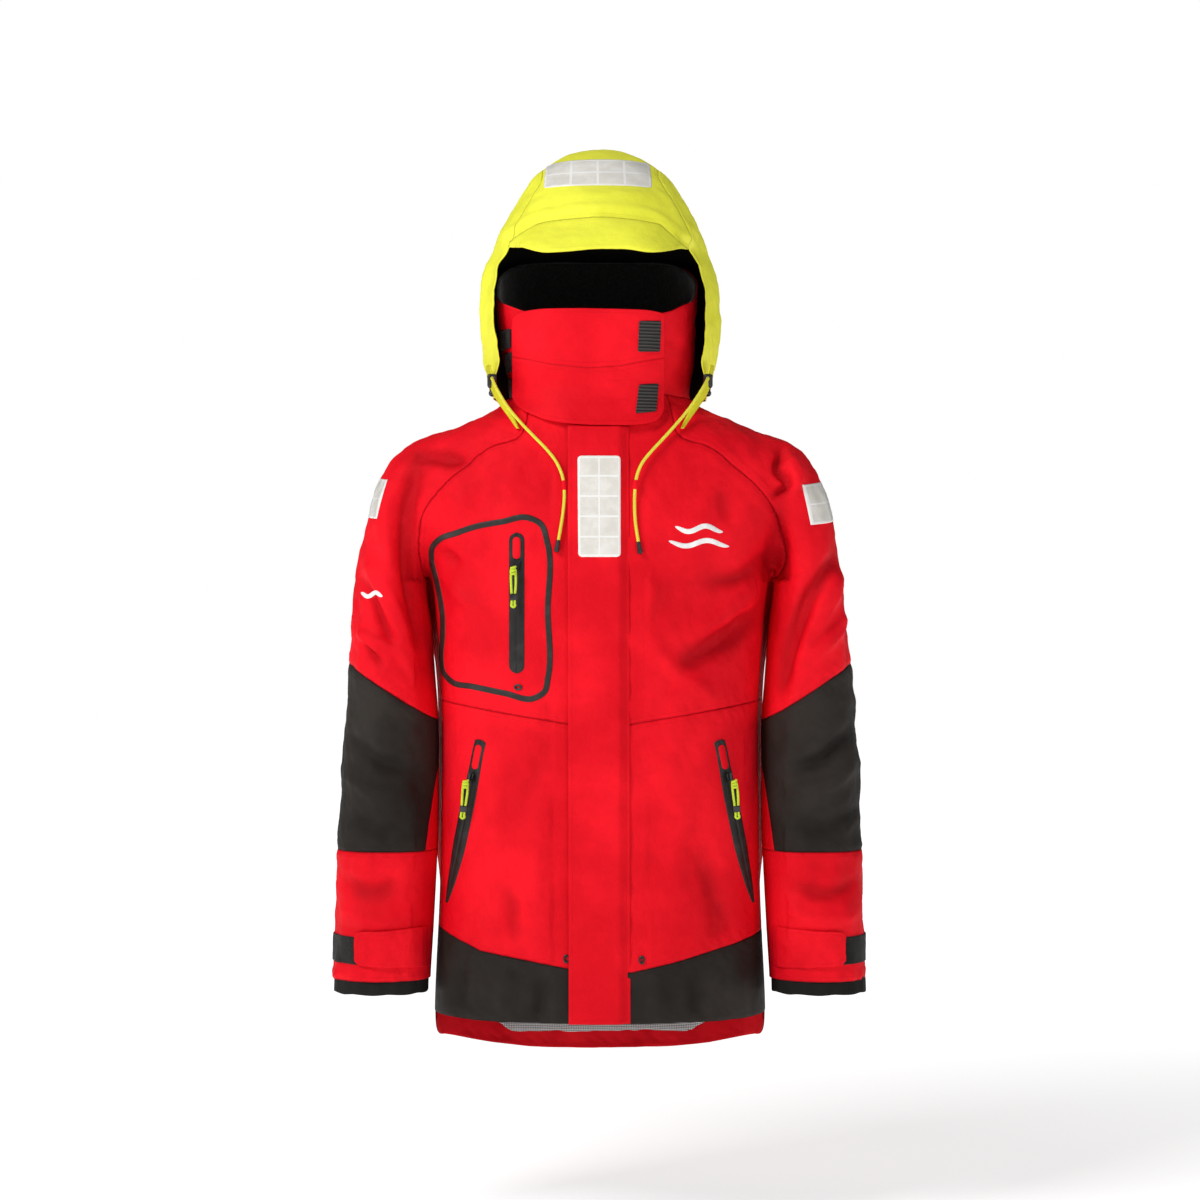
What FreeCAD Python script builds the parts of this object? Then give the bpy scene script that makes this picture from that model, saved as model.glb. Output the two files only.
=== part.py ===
import FreeCAD, Part
import math
import os
from FreeCAD import Vector

# Foul weather jacket, as worn: front towards -Y, wearer's right towards -X, +Z up.
# The origin is the centre of the neck opening at the collar seam.  Lengths are in millimetres.

DIMENSIONS = {
    # body shell
    "chest_half": 222, "neck_half": 118, "belly_front": 152, "back_depth": 115,
    "neck_height": 14, "hem_front": 775, "hem_back": 848, "cloth": 2, "seam_gap": 0.6,
    # front closure
    "zip_gap": 6, "zip_tape": 15, "zip_teeth": 3, "flap_root": 36, "flap_edge": 40,
    "flap_lift": 6, "flap_thick": 2.2, "guard_half": 26,
    # collar, face guard and hood
    "collar_flare": 9, "collar_front": 116, "collar_slope": 0.4, "face_root": 81, "face_end": 112,
    "hood_top": 338, "hood_half": 156, "hood_face": 72, "hood_band": 75, "nape": 112,
    # sleeves
    "arm_plane": 222, "elbow_bend": 455, "cuff_height": 735, "inner_cuff": 752, "tab_low": 721, "tab_high": 673,
    # hardware
    "slider_width": 9, "slider_length": 11, "slider_height": 4.4, "slider_corner": 2,
    "pull_cord": 2.8, "pull_length": 44, "pull_spread": 3.2, "drawcord": 4,
    "lock_width": 16, "lock_height": 18, "lock_depth": 12, "lock_bore": 5.2,
    "button_width": 7, "button_travel": 3, "end_radius": 3.4, "end_length": 13,
    "eyelet_long": 11, "eyelet_short": 7, "eyelet_height": 1.6, "eyelet_hole": 1.8,
    "tape_width": 7.3, "tape_thick": 0.9, "reflector_thick": 0.8, "patch_thick": 1.4,
}

doc = FreeCAD.newDocument("FoulWeatherJacket")
sheet = doc.addObject("Spreadsheet::Sheet", "Dimensions")
for row, (alias, value) in enumerate(DIMENSIONS.items(), start=1):
    sheet.set(f"A{row}", alias)
    sheet.set(f"B{row}", str(value))
    sheet.setAlias(f"B{row}", alias)
doc.recompute()


def dim(alias):
    return float(sheet.get(alias))


CLOTH = dim("cloth")
GAP = dim("seam_gap")
FAR = 600.0
pieces = []


def keep(shape, label):
    """Adds a finished shape to the document as the piece with that label."""
    feature = doc.addObject("Part::Feature", label)
    feature.Label = label
    feature.Shape = shape
    pieces.append(feature)
    return feature


# ---------------------------------------------------------------- curves and shells

def super_point(angle, power):
    """A point of the unit superellipse."""
    c, s = math.cos(angle), math.sin(angle)
    return (math.copysign(abs(c) ** (2 / power), c), math.copysign(abs(s) ** (2 / power), s))


def closed_curve(points):
    curve = Part.BSplineCurve()
    curve.interpolate(Points=points, PeriodicFlag=True)
    return Part.Wire([curve.toShape()])


def level_outline(height, half_width, front, back, power, grow, count=36):
    """A level section of a garment: front and back have depths of their own."""
    points = []
    for n in range(count):
        x, y = super_point(2 * math.pi * (n + 0.5) / count, power)
        depth = (back if y > 0 else front) + grow
        points.append(Vector(x * (half_width + grow), y * depth, height))
    return closed_curve(points)


def level_loft(stations, grow):
    return Part.makeLoft([level_outline(*s, grow) for s in stations], True, True)


def prism_y(corners, near=-FAR, far=FAR):
    """A column along Y over a polygon given as (x, z) corners."""
    loop = [Vector(x, near, z) for x, z in corners]
    return Part.Face(Part.makePolygon(loop + loop[:1])).extrude(Vector(0, far - near, 0))


def prism_x(corners, near=-FAR, far=FAR):
    """A column along X over a polygon given as (y, z) corners."""
    loop = [Vector(near, y, z) for y, z in corners]
    return Part.Face(Part.makePolygon(loop + loop[:1])).extrude(Vector(far - near, 0, 0))


def mirrored(shape):
    return shape.mirror(Vector(0, 0, 0), Vector(1, 0, 0))


def both_sides(right_shape, label):
    """A piece on the wearer's right and its mirror image, as two pieces."""
    keep(right_shape, label + "_right")
    keep(mirrored(right_shape), label + "_left")


def pair(right_shape, label):
    """A matched pair on one body, as one piece with two solids."""
    keep(Part.makeCompound([right_shape, mirrored(right_shape)]), label)


# ---------------------------------------------------------------- body shell

def torso_stations():
    """Level sections from below the hem to the neck: height, half width, front, back, power."""
    chest, neck = dim("chest_half"), dim("neck_half")
    front, back = dim("belly_front"), dim("back_depth")
    return [
        (-870, chest - 7, front + 2, back + 13, 2.5),
        (-775, chest - 8, front + 1, back + 11, 2.5),
        (-600, chest - 15, front - 2, back + 2, 2.5),
        (-400, chest - 17, front, back - 2, 2.5),
        (-285, chest - 11, front, back, 2.5),
        (-200, chest, front - 2, back + 3, 2.5),
        (-160, chest + 28, front - 4, back + 1, 2.5),
        (-110, chest + 46, front - 9, back - 3, 2.45),
        (-75, chest + 42, front - 14, back - 9, 2.4),
        (-46, chest + 18, front - 19, back - 13, 2.35),
        (-20, neck + 60, front - 25, back - 15, 2.3),
        (-6, neck + 27, front - 28, back - 17, 2.2),
        (6, neck + 8, front - 31, back - 18, 2.15),
        (16, neck, front - 33, back - 19, 2.1),
    ]


torso_solids = {}


def torso(grow):
    if grow not in torso_solids:
        torso_solids[grow] = level_loft(torso_stations(), grow)
    return torso_solids[grow]


def skin(inner, outer, *prisms):
    """The layer of the body between two offsets from its outer face, inside every prism."""
    shape = torso(outer).common(prisms[0])
    for prism in prisms[1:]:
        shape = shape.common(prism)
    return shape.cut(torso(inner))


ARM = dim("arm_plane")
NECK = dim("neck_height")
SIDE_SEAM = 20.0
RAGLAN = [(-107, 40), (-107, -20), (-ARM, -190)]
YOKE_SEAM = [(-8, -408), (-ARM - 20, -376)]
HEM_SEAM = [(-8, -716), (-90, -704), (-ARM - 20, -672)]
HEM_FRONT, HEM_BACK = dim("hem_front"), dim("hem_back")
ZIP = dim("zip_gap")


def lowered(line, by):
    return [(x, z - by) for x, z in line]


def flipped(line):
    return [(-x, z) for x, z in line]


def front_panels():
    """Upper, lower and hem panels of the wearer's right front, with their mirror images."""
    front = dict(near=-FAR, far=SIDE_SEAM - GAP / 2)
    raglan_gap = [(x + GAP, z) for x, z in RAGLAN[1:]]
    upper = prism_y([(-ZIP, NECK)] + [(-107 + GAP, NECK)] + raglan_gap
                    + [(-ARM + GAP, YOKE_SEAM[1][1])] + [(-ZIP, YOKE_SEAM[0][1])], **front)
    below_arm = [(-ARM - 20, -202), (-ARM - 20, YOKE_SEAM[1][1]), (-ARM + GAP, YOKE_SEAM[1][1]),
                 (-ARM + GAP, -202)]
    upper = upper.fuse(prism_y(below_arm, **front)).removeSplitter()
    lower = prism_y(lowered(YOKE_SEAM, GAP) + HEM_SEAM[:0:-1] + [(-ZIP, HEM_SEAM[0][1])], **front)
    hem = prism_y(lowered(HEM_SEAM, GAP) + [(-ARM - 20, -HEM_FRONT), (-8, -HEM_FRONT)], **front)
    hem = hem.common(prism_y([(-ZIP, 0), (-FAR, 0), (-FAR, -FAR * 2), (-ZIP, -FAR * 2)]))
    for prism, label in ((upper, "upper_fronts"), (lower, "lower_fronts"), (hem, "hem_panels")):
        pair(skin(-CLOTH, 0, prism), label)


def back_panels():
    """One piece across the back, its black hem panel and the red facing inside the dropped tail."""
    behind = dict(near=SIDE_SEAM + GAP / 2, far=FAR)
    seam = -700
    top = [(x + GAP, z) for x, z in RAGLAN[1:]]
    sides = [(-ARM + GAP, -202), (-ARM - 20, -202), (-ARM - 20, seam)]
    half = [(-107 + GAP, NECK)] + top + sides
    keep(skin(-CLOTH, 0, prism_y(half + flipped(half)[::-1], **behind)), "back_panel")
    tail = [(-ARM - 20, seam - GAP), (-ARM - 20, -HEM_FRONT - 5), (-150, -HEM_BACK + 18), (-80, -HEM_BACK + 5)]
    outline = tail + [(0, -HEM_BACK)] + flipped(tail)[::-1]
    keep(skin(-CLOTH, 0, prism_y(outline, **behind)), "back_hem_panel")
    inside = [(-ARM - 20, -790), (-150, -803), (0, -813), (150, -803), (ARM + 20, -790)]
    tail_inside = [(x, z + 1) for x, z in outline[1:-1]]
    facing = prism_y(inside + tail_inside[::-1], **behind)
    keep(skin(-CLOTH - 1.4, -CLOTH - 0.2, facing), "back_hem_facing")


def raglan_shoulders():
    """The part of each raglan sleeve that lies on the shoulder, from neck to armhole."""
    corners = RAGLAN[1:] + [(-ARM, NECK), (-107, NECK)]
    pair(skin(-CLOTH, 0, prism_y(corners)), "raglan_shoulders")


def linings():
    """Mesh lining inside the body, and the placket guard behind the zip."""
    level = prism_y([(-FAR, -130), (FAR, -130), (FAR, -770), (-FAR, -770)])
    drop = prism_y([(-190, -769), (190, -769), (150, -800), (0, -811), (-150, -800)],
                   near=SIDE_SEAM + 20, far=FAR)
    arms = prism_y([(-FAR, -60), (-ARM + 12, -60), (-ARM + 12, -215), (-FAR, -215)])
    mesh = skin(-CLOTH - 5, -CLOTH - 3.8, level.fuse(drop).removeSplitter())
    mesh = mesh.cut(arms).cut(mirrored(arms))
    opening = prism_y([(-40, 0), (40, 0), (40, -FAR * 2), (-40, -FAR * 2)], far=0)
    keep(mesh.cut(opening), "mesh_lining")
    half = dim("guard_half")
    guard = prism_y([(-half, 10), (half, 10), (half, -768), (-half, -768)], far=0)
    keep(skin(-CLOTH - 4.4, -CLOTH - 2.6, guard), "zip_guard")


def pocket_bags():
    """Flat bags behind the chest zip and both hand zips."""
    chest = prism_y([(-196, -205), (-70, -200), (-70, -372), (-196, -355)], far=0)
    hand = prism_y([(-196, -440), (-70, -440), (-70, -640), (-196, -640)], far=0)
    bags = [skin(-CLOTH - 3.2, -CLOTH - 1, p) for p in (chest, hand)]
    bags.append(mirrored(bags[1]))
    keep(Part.makeCompound(bags), "pocket_bags")


# ---------------------------------------------------------------- front closure

def main_zip():
    """Two woven tapes with a row of moulded teeth between them, from hem to collar top."""
    tape, gap = dim("zip_tape"), 1.3
    low, high = -768, NECK
    solids = []
    for side in (-1, 1):
        strip = prism_y([(side * gap, high), (side * tape, high), (side * tape, low), (side * gap, low)], far=0)
        solids.append(skin(-CLOTH - 1.6, -CLOTH - 0.4, strip))
    teeth = prism_y([(-gap, high), (gap, high), (gap, low), (-gap, low)], far=0)
    solids.append(skin(-CLOTH - 1.8, 0, teeth))
    solids += collar_zip(tape, gap)
    keep(Part.makeCompound(solids), "main_zip")


def storm_flap():
    """Double-layer flap over the zip, sewn along its edge on the wearer's left."""
    lift, thick = dim("flap_lift"), dim("flap_thick")
    root, edge = dim("flap_root"), dim("flap_edge")
    top, bottom = -28, -HEM_FRONT + 1
    band = prism_y([(-edge, top), (root, top), (root, bottom), (-edge, bottom)], far=0)
    sewn = prism_y([(root - 4, top), (root, top), (root, bottom), (root - 4, bottom)], far=0)
    flap = skin(lift, lift + thick, band).fuse(skin(0.3, lift + 1, sewn)).removeSplitter()
    keep(flap, "storm_flap")
    plate = prism_y([(-26, -66), (25, -66), (25, -191), (-26, -191)], far=0)
    outer = lift + thick
    keep(skin(outer, outer + dim("reflector_thick"), plate), "chest_reflector")


# ---------------------------------------------------------------- pockets

CHEST_ZIP_X = -104.0
POCKET = [(-94, -143), (-122, -149), (-160, -155), (-199, -168), (-212, -188), (-209, -225),
          (-203, -270), (-203, -318), (-190, -352), (-140, -366), (-85, -374), (-66, -356),
          (-65, -270), (-65, -180), (-72, -152)]


def spline_band(points, width, closed):
    """A flat band of even width along a smooth curve in the XZ plane, as a face."""
    curve = Part.BSplineCurve()
    path = [Vector(x, 0, z) for x, z in points]
    curve.interpolate(Points=path, PeriodicFlag=closed)
    count = 90
    ends = curve.LastParameter - curve.FirstParameter
    sides = [[], []]
    for n in range(count + (0 if closed else 1)):
        t = curve.FirstParameter + ends * n / count
        place, along = curve.value(t), curve.tangent(t)[0]
        across = Vector(along.z, 0, -along.x) * (width / 2)
        sides[0].append(place + across)
        sides[1].append(place - across)
    wires = [closed_curve(s) for s in sides]
    wires.sort(key=lambda w: -w.BoundBox.DiagonalLength)
    return Part.Face(wires[0]).cut(Part.Face(wires[1]))


def along_y(face):
    """A face in the XZ plane as a column through the front of the jacket."""
    return face.translated(Vector(0, -FAR, 0)).extrude(Vector(0, FAR, 0))


def chest_pocket():
    """Bonded outline tape, and the coated zip with the garage its slider parks in."""
    thick = dim("tape_thick")
    band = along_y(spline_band(POCKET, dim("tape_width"), True))
    keep(skin(0, thick, band), "chest_pocket_tape")
    x, half = CHEST_ZIP_X, 10.0
    high, low = -164.0, -338.0
    outer = slot_face(x, high, low, half)
    garage = slot_face(x, high - 6, high - 32, half - 6)
    keep(skin(0, thick, along_y(outer.cut(garage))), "chest_zip")


def slot_face(x, high, low, half):
    """A flat slot shape with round ends, in the XZ plane."""
    a, b = Vector(x - half, 0, high - half), Vector(x + half, 0, high - half)
    c, d = Vector(x + half, 0, low + half), Vector(x - half, 0, low + half)
    edges = [Part.Arc(a, Vector(x, 0, high), b).toShape(), Part.LineSegment(b, c).toShape(),
             Part.Arc(c, Vector(x, 0, low), d).toShape(), Part.LineSegment(d, a).toShape()]
    return Part.Face(Part.Wire(edges))


HAND_ZIP = [(-152, -428), (-158, -462), (-167, -505), (-177, -555), (-184, -612)]
HAND_WIDTH = 14.0


def hand_zips():
    """Both hand pocket zips: a slanting coated band with a garage at its top."""
    outer = ribbon(HAND_ZIP, HAND_WIDTH)
    garage = ribbon([(-153, -436), (-156.5, -456)], HAND_WIDTH - 9)
    pair(skin(0, dim("tape_thick"), outer.cut(garage)), "hand_zips")


def ribbon(line, width):
    """A column along Y over a flat ribbon that follows a polyline, with round ends."""
    shape = None
    for (x0, z0), (x1, z1) in zip(line, line[1:]):
        along = Vector(x1 - x0, 0, z1 - z0).normalize()
        across = Vector(along.z, 0, -along.x) * (width / 2)
        a, b = Vector(x0, 0, z0), Vector(x1, 0, z1)
        edges = [Part.LineSegment(a + across, b + across).toShape(),
                 Part.Arc(b + across, b + along * (width / 2), b - across).toShape(),
                 Part.LineSegment(b - across, a - across).toShape(),
                 Part.Arc(a - across, a - along * (width / 2), a + across).toShape()]
        column = along_y(Part.Face(Part.Wire(edges)))
        shape = column if shape is None else shape.fuse(column)
    return shape


# ---------------------------------------------------------------- collar and face guard

def collar_stations():
    """Level sections of the standing collar, growing slightly towards the top."""
    neck, flare = dim("neck_half"), dim("collar_flare")
    front, back = dim("belly_front") - 33, dim("back_depth") - 19
    return [
        (-24, neck - 1, front - 1, back - 1, 2.1),
        (16, neck, front, back, 2.1),
        (60, neck + flare * 0.6, front + 3, back + 1, 2.15),
        (110, neck + flare * 0.9, front + 6, back + 3, 2.2),
        (212, neck + flare, front + 8, back + 5, 2.2),
    ]


collar_solids = {}


def collar_layer(inner, outer, *prisms):
    for grow in (inner, outer):
        if grow not in collar_solids:
            collar_solids[grow] = level_loft(collar_stations(), grow)
    shape = collar_solids[outer]
    for prism in prisms:
        shape = shape.common(prism)
    return shape.cut(collar_solids[inner])


def under_rim(low, lift=0.0):
    """The space between a level and the collar's sloping rim, seen from the side."""
    slope, front = dim("collar_slope"), dim("collar_front") + lift
    return prism_x([(-200, low), (200, low), (200, front + slope * 320), (-200, front - slope * 80)])


def collar():
    """Outer collar, fleece lining, the loop patches under the face guard and the hanger loop."""
    slit = prism_y([(-ZIP, 300), (ZIP, 300), (ZIP, -100), (-ZIP, -100)], far=0)
    keep(collar_layer(-CLOTH, 0, under_rim(NECK + GAP)).cut(slit), "collar_shell")
    lining = collar_layer(-CLOTH - 6, -CLOTH - 3.4, under_rim(NECK + GAP, -2)).cut(slit)
    keep(lining, "collar_lining")
    patches = []
    for low in (72, 42, 12):
        patch = prism_y([(-126, low + GAP), (-108, low + GAP), (-108, low + 24), (-126, low + 24)], far=-20)
        patches.append(collar_layer(0.1, dim("patch_thick"), patch, under_rim(NECK + GAP)))
    keep(Part.makeCompound(patches), "collar_loop_patches")
    inside = dim("back_depth") - 19 - CLOTH - 6.2
    outer = slot_in_yz(inside, 18, 60, 5.0, 12.0)
    keep(outer, "hanger_loop")


def slot_in_yz(back, low, length, stand, width):
    """A flat hanging loop of tape sewn flat at both ends on the inner back of the collar."""
    thick = 1.6
    high = low + length
    bend = [(back, low), (back, low + 6.5), (back - stand, low + 16.5), (back - stand, high - 16.5),
            (back, high - 6.5), (back, high), (back - thick, high), (back - thick, high - 6),
            (back - stand - thick, high - 16), (back - stand - thick, low + 16),
            (back - thick, low + 6), (back - thick, low)]
    return prism_x(bend, near=-width / 2, far=width / 2)


def collar_zip(tape, gap):
    """The top length of the zip, which stands with the collar."""
    top = under_rim(NECK + GAP, -8)
    solids = []
    for side in (-1, 1):
        strip = prism_y([(side * gap, 300), (side * tape, 300), (side * tape, 0), (side * gap, 0)], far=0)
        solids.append(collar_layer(-CLOTH - 1.6, -CLOTH - 0.4, strip, top))
    teeth = prism_y([(-gap, 300), (gap, 300), (gap, 0), (-gap, 0)], far=0)
    solids.append(collar_layer(-CLOTH - 1.8, 0, teeth, top))
    return solids


def guard_stations():
    """Level sections that stand clear of the collar, and of the storm flap at the guard's foot."""
    neck, front = dim("neck_half"), dim("belly_front") - 33
    return [
        (-40, neck + 79, front + 24, 100, 2.3),
        (-28, neck + 60, front + 20.5, 100, 2.28),
        (-10, neck + 42, front + 14.5, 98, 2.2),
        (8, neck + 20, front + 11, 97, 2.12),
        (30, neck + 12, front + 10.2, 97, 2.1),
        (60, neck + 14, front + 11.2, 98, 2.15),
        (130, neck + 18, front + 15, 99, 2.2),
    ]


def guard_layer(inner, outer, prism):
    """A layer of the face guard, at distances out from its inner face."""
    shape = level_loft(guard_stations(), outer).common(prism)
    return shape.cut(level_loft(guard_stations(), inner))


def face_guard():
    """The wrap-over guard on the front of the collar, hinged on the wearer's left."""
    root, end = dim("face_root"), dim("face_end")
    top, low = dim("collar_front"), -27.4
    outline = [(root, top - 4), (root - 24, top), (-end + 20, top), (-end, top - 4), (-end, 11), (-end + 16, -9),
               (-end + 42, -20), (-60, low + 3), (-20, low), (40, low), (root - 12, low + 2), (root, -12)]
    keep(guard_layer(0, 2, prism_y(outline, far=-8)), "face_guard")
    patches = []
    for low_edge, high_edge in ((65, 104), (-12, 25)):
        patch = prism_y([(45, low_edge), (72, low_edge), (75, high_edge), (48, high_edge)], far=0)
        patches.append(guard_layer(2, 2 + dim("patch_thick"), patch))
    keep(Part.makeCompound(patches), "face_guard_patches")


# ---------------------------------------------------------------- hood

def hood_stations():
    """Level sections of the hood before the face opening is cut."""
    half = dim("hood_half")
    return [
        (-10, half - 23, 232, 108, 2.6),
        (13, half - 19, 232, 112, 2.6),
        (31, half - 15, 232, 122, 2.6),
        (60, half - 7, 232, 138, 2.6),
        (105, half, 228, 156, 2.6),
        (139, half, 222, 165, 2.6),
        (170, half - 4, 212, 168, 2.5),
        (200, half - 15, 192, 165, 2.4),
        (234, half - 30, 162, 156, 2.3),
        (263, half - 44, 140, 142, 2.25),
        (294, half - 64, 108, 118, 2.2),
        (317, half - 92, 76, 88, 2.15),
        (330, half - 114, 48, 58, 2.1),
        (dim("hood_top"), half - 148, 9, 12, 2.0),
    ]


hood_solids = {}


def hood_layer(inner, outer, *prisms):
    for grow in (inner, outer):
        if grow not in hood_solids:
            hood_solids[grow] = level_loft(hood_stations(), grow)
    shape = hood_solids[outer]
    for prism in prisms:
        shape = shape.common(prism)
    return shape.cut(hood_solids[inner])


def hood():
    """Centre band, two side panels, stiffened peak, dark lining and the crown reflector."""
    face, band = dim("hood_face"), dim("hood_band")
    nape = dim("nape")
    brim = 186.0
    profile = [(-face, brim), (-face, 20), (-face + 12, 8), (0, 10), (nape + 30, 16), (nape + 120, 60),
               (nape + 120, 400), (-300, 400), (-300, brim)]
    shell = hood_layer(-CLOTH, 0, prism_x(profile))
    seam = [(-300, brim - 10), (-300, 232), (-60, 226), (-60, brim - 10)]
    peak_zone = prism_x(seam)
    peak = shell.common(peak_zone)
    keep(peak, "hood_peak")
    rest = shell.cut(prism_x([(y + (GAP if y > -200 else 0), z + (GAP if z > 200 else 0)) for y, z in seam]))
    middle = prism_y([(-band, -50), (band, -50), (band, 400), (-band, 400)])
    keep(rest.common(middle), "hood_centre")
    wide = band + GAP
    side = prism_y([(-FAR, -50), (-wide, -50), (-wide, 400), (-FAR, 400)])
    right = rest.common(side)
    keep(Part.makeCompound([right, mirrored(right)]), "hood_side_panels")
    inside = [(-face + 3, brim + 3), (-face + 3, 24), (-face + 15, 12), (0, 13), (nape + 30, 19),
              (nape + 120, 64), (nape + 120, 400), (-150, 400), (-150, brim + 3)]
    keep(hood_layer(-CLOTH - 1.6, -CLOTH - 0.4, prism_x(inside)), "hood_lining")
    plate = prism_y([(-68, 284), (-64, 318), (64, 318), (68, 284)], far=0)
    keep(hood_layer(0, dim("reflector_thick"), plate), "hood_reflector")


# ---------------------------------------------------------------- sleeves

def sleeve_stations():
    """Sleeve sections as outer and inner edge points (x, z), depth centre and half depth."""
    arm = dim("arm_plane") + GAP
    return [
        ((-arm, -38), (-arm, -198), -11, 87),
        ((-262, -57), (-arm - 1, -205), -11, 85),
        ((-291, -104), (-225, -214), -12, 81),
        ((-306, -169), (-224, -238), -14, 77),
        ((-318, -245), (-220, -285), -16, 75),
        ((-327, -330), (-215, -350), -18, 75),
        ((-333, -400), (-211, -405), -22, 75),
        ((-338, -520), (-210, -520), -28, 73),
        ((-341, -600), (-213, -600), -33, 70),
        ((-343, -680), (-217, -680), -38, 65),
        ((-346, -735), (-220, -735), -42, 60),
        ((-347, -790), (-221, -790), -45, 58),
    ]


def sleeve_outline(outer, inner, centre_y, half_depth, grow, count=28):
    (ox, oz), (ix, iz) = outer, inner
    middle = Vector((ox + ix) / 2, centre_y, (oz + iz) / 2)
    across = Vector(ox - ix, 0, oz - iz)
    length = across.Length / 2 + grow
    across.normalize()
    points = []
    for n in range(count):
        c, s = super_point(math.pi / 2 + 2 * math.pi * (n + 0.5) / count, 2.15)
        points.append(middle + across * (c * length) + Vector(0, s * (half_depth + grow), 0))
    return closed_curve(points)


sleeve_solids = {}


def sleeve_layer(inner, outer, *prisms):
    for grow in (inner, outer):
        if grow not in sleeve_solids:
            wires = [sleeve_outline(*s, grow) for s in sleeve_stations()]
            cap = Part.makeLoft(wires[:4], True, True)
            arm = Part.makeLoft(wires[3:], True, True)
            sleeve_solids[grow] = cap.fuse(arm)
    shape = sleeve_solids[outer]
    for prism in prisms:
        shape = shape.common(prism)
    return shape.cut(sleeve_solids[inner])


ELBOW_SEAM = [(-360, -321), (-180, -420)]
FOREARM_SEAM = -578.0


def sleeves():
    """Red upper sleeve, black elbow panel split at its crease, red lower sleeve and dark inner cuff."""
    cuff = dim("cuff_height")
    arm = dim("arm_plane") + GAP
    upper = prism_y([(-arm, 0), (-arm, -190), (-200, -200)] + ELBOW_SEAM[::-1] + [(-360, 0)])
    bend = -dim("elbow_bend")
    above = prism_y(lowered(ELBOW_SEAM, GAP) + [(-180, bend), (-360, bend)])
    below = prism_y([(-360, bend - GAP), (-180, bend - GAP), (-180, FOREARM_SEAM), (-360, FOREARM_SEAM)])
    lower = prism_y([(-360, FOREARM_SEAM - GAP), (-180, FOREARM_SEAM - GAP), (-180, -cuff), (-360, -cuff)])
    inner = prism_y([(-360, -690), (-180, -690), (-180, -dim("inner_cuff")), (-360, -dim("inner_cuff"))])
    both_sides(sleeve_layer(-CLOTH, 0, upper), "sleeve_upper")
    both_sides(sleeve_layer(-CLOTH, 0, above), "elbow_panel_upper")
    both_sides(sleeve_layer(-CLOTH, 0, below), "elbow_panel_lower")
    both_sides(sleeve_layer(-CLOTH, 0, lower), "sleeve_lower")
    both_sides(sleeve_layer(-CLOTH - 2, -CLOTH - 0.3, inner), "inner_cuff")


def cuff_closures():
    """Wrap-over tab, and the loop strip that it fastens to round the outside of the cuff."""
    low, high = -dim("tab_low"), -dim("tab_high")
    tab = prism_y([(-231, high), (-304, high - 6), (-314, high - 14), (-314, low + 5), (-306, low), (-231, low + 5)],
                  far=-42)
    both_sides(sleeve_layer(3, 5, tab), "cuff_tab")
    strip = [(-352, high - 15), (-262, high - 12), (-262, low + 8), (-352, low + 5)]
    both_sides(sleeve_layer(0.2, 1.6, prism_y(strip, far=40)), "cuff_loop_strip")
    plate = prism_y([(-340, -96), (-283, -109), (-302, -166), (-345, -150)], near=-60, far=60)
    both_sides(sleeve_layer(0.2, 0.2 + dim("reflector_thick"), plate), "sleeve_reflector")


# ---------------------------------------------------------------- hardware

def origin_plane(body, role):
    return next(f for f in body.Origin.OriginFeatures if f.Role == role)


def sketch_on(body, name, role="XY_Plane"):
    sketch = body.newObject("Sketcher::SketchObject", name)
    sketch.AttachmentSupport = [(origin_plane(body, role), "")]
    sketch.MapMode = "FlatFace"
    return sketch


def add_loop(sketch, corners):
    """A closed loop of lines through the corners, joined end to end."""
    import Sketcher
    first = sketch.GeometryCount
    for n, (x, y) in enumerate(corners):
        x1, y1 = corners[(n + 1) % len(corners)]
        sketch.addGeometry(Part.LineSegment(Vector(x, y, 0), Vector(x1, y1, 0)), False)
    for n in range(len(corners)):
        sketch.addConstraint(Sketcher.Constraint("Coincident", first + n, 2, first + (n + 1) % len(corners), 1))


def slider_body(label, place):
    """A zip slider: a tapered plate in local XY, nose towards +Y, with the bridge for its pull."""
    import Sketcher
    body = doc.addObject("PartDesign::Body", label)
    body.Label = label
    plate = sketch_on(body, label + "_plate")
    half, long = dim("slider_width") / 2, dim("slider_length")
    add_loop(plate, [(-half, long / 2), (half, long / 2), (half * 0.6, -long / 2), (-half * 0.6, -long / 2)])
    index = plate.addConstraint(Sketcher.Constraint("DistanceX", 0, 1, 0, 2, half * 2))
    plate.renameConstraint(index, "width")
    plate.setExpression("Constraints.width", f"{sheet.Name}.slider_width")
    pad = body.newObject("PartDesign::Pad", label + "_pad")
    pad.Profile = plate
    pad.setExpression("Length", f"{sheet.Name}.slider_height * 0.55")
    bridge = sketch_on(body, label + "_bridge", "YZ_Plane")
    top = dim("slider_height")
    add_loop(bridge, [(-long / 2 + 1, 2), (-long / 2 + 1, top), (long / 2 - 1, top), (long / 2 - 1, 2),
                      (long / 2 - 2.6, 2), (long / 2 - 2.6, top - 1), (-long / 2 + 2.6, top - 1),
                      (-long / 2 + 2.6, 2)])
    arch = body.newObject("PartDesign::Pad", label + "_arch")
    arch.Profile = bridge
    arch.SideType = "Two sides"
    arch.Length = 1.4
    arch.Length2 = 1.4
    body.Tip = arch
    doc.recompute()
    body.Placement = place
    pieces.append(body)
    return body


def frame_at(point, up, out):
    """A placement whose local +Y points up the zip and whose local +Z points out of the cloth."""
    up, out = Vector(up).normalize(), Vector(out).normalize()
    side = up.cross(out).normalize()
    up = out.cross(side)
    matrix = FreeCAD.Matrix(side.x, up.x, out.x, point[0], side.y, up.y, out.y, point[1],
                            side.z, up.z, out.z, point[2], 0, 0, 0, 1)
    return FreeCAD.Placement(matrix)


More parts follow.
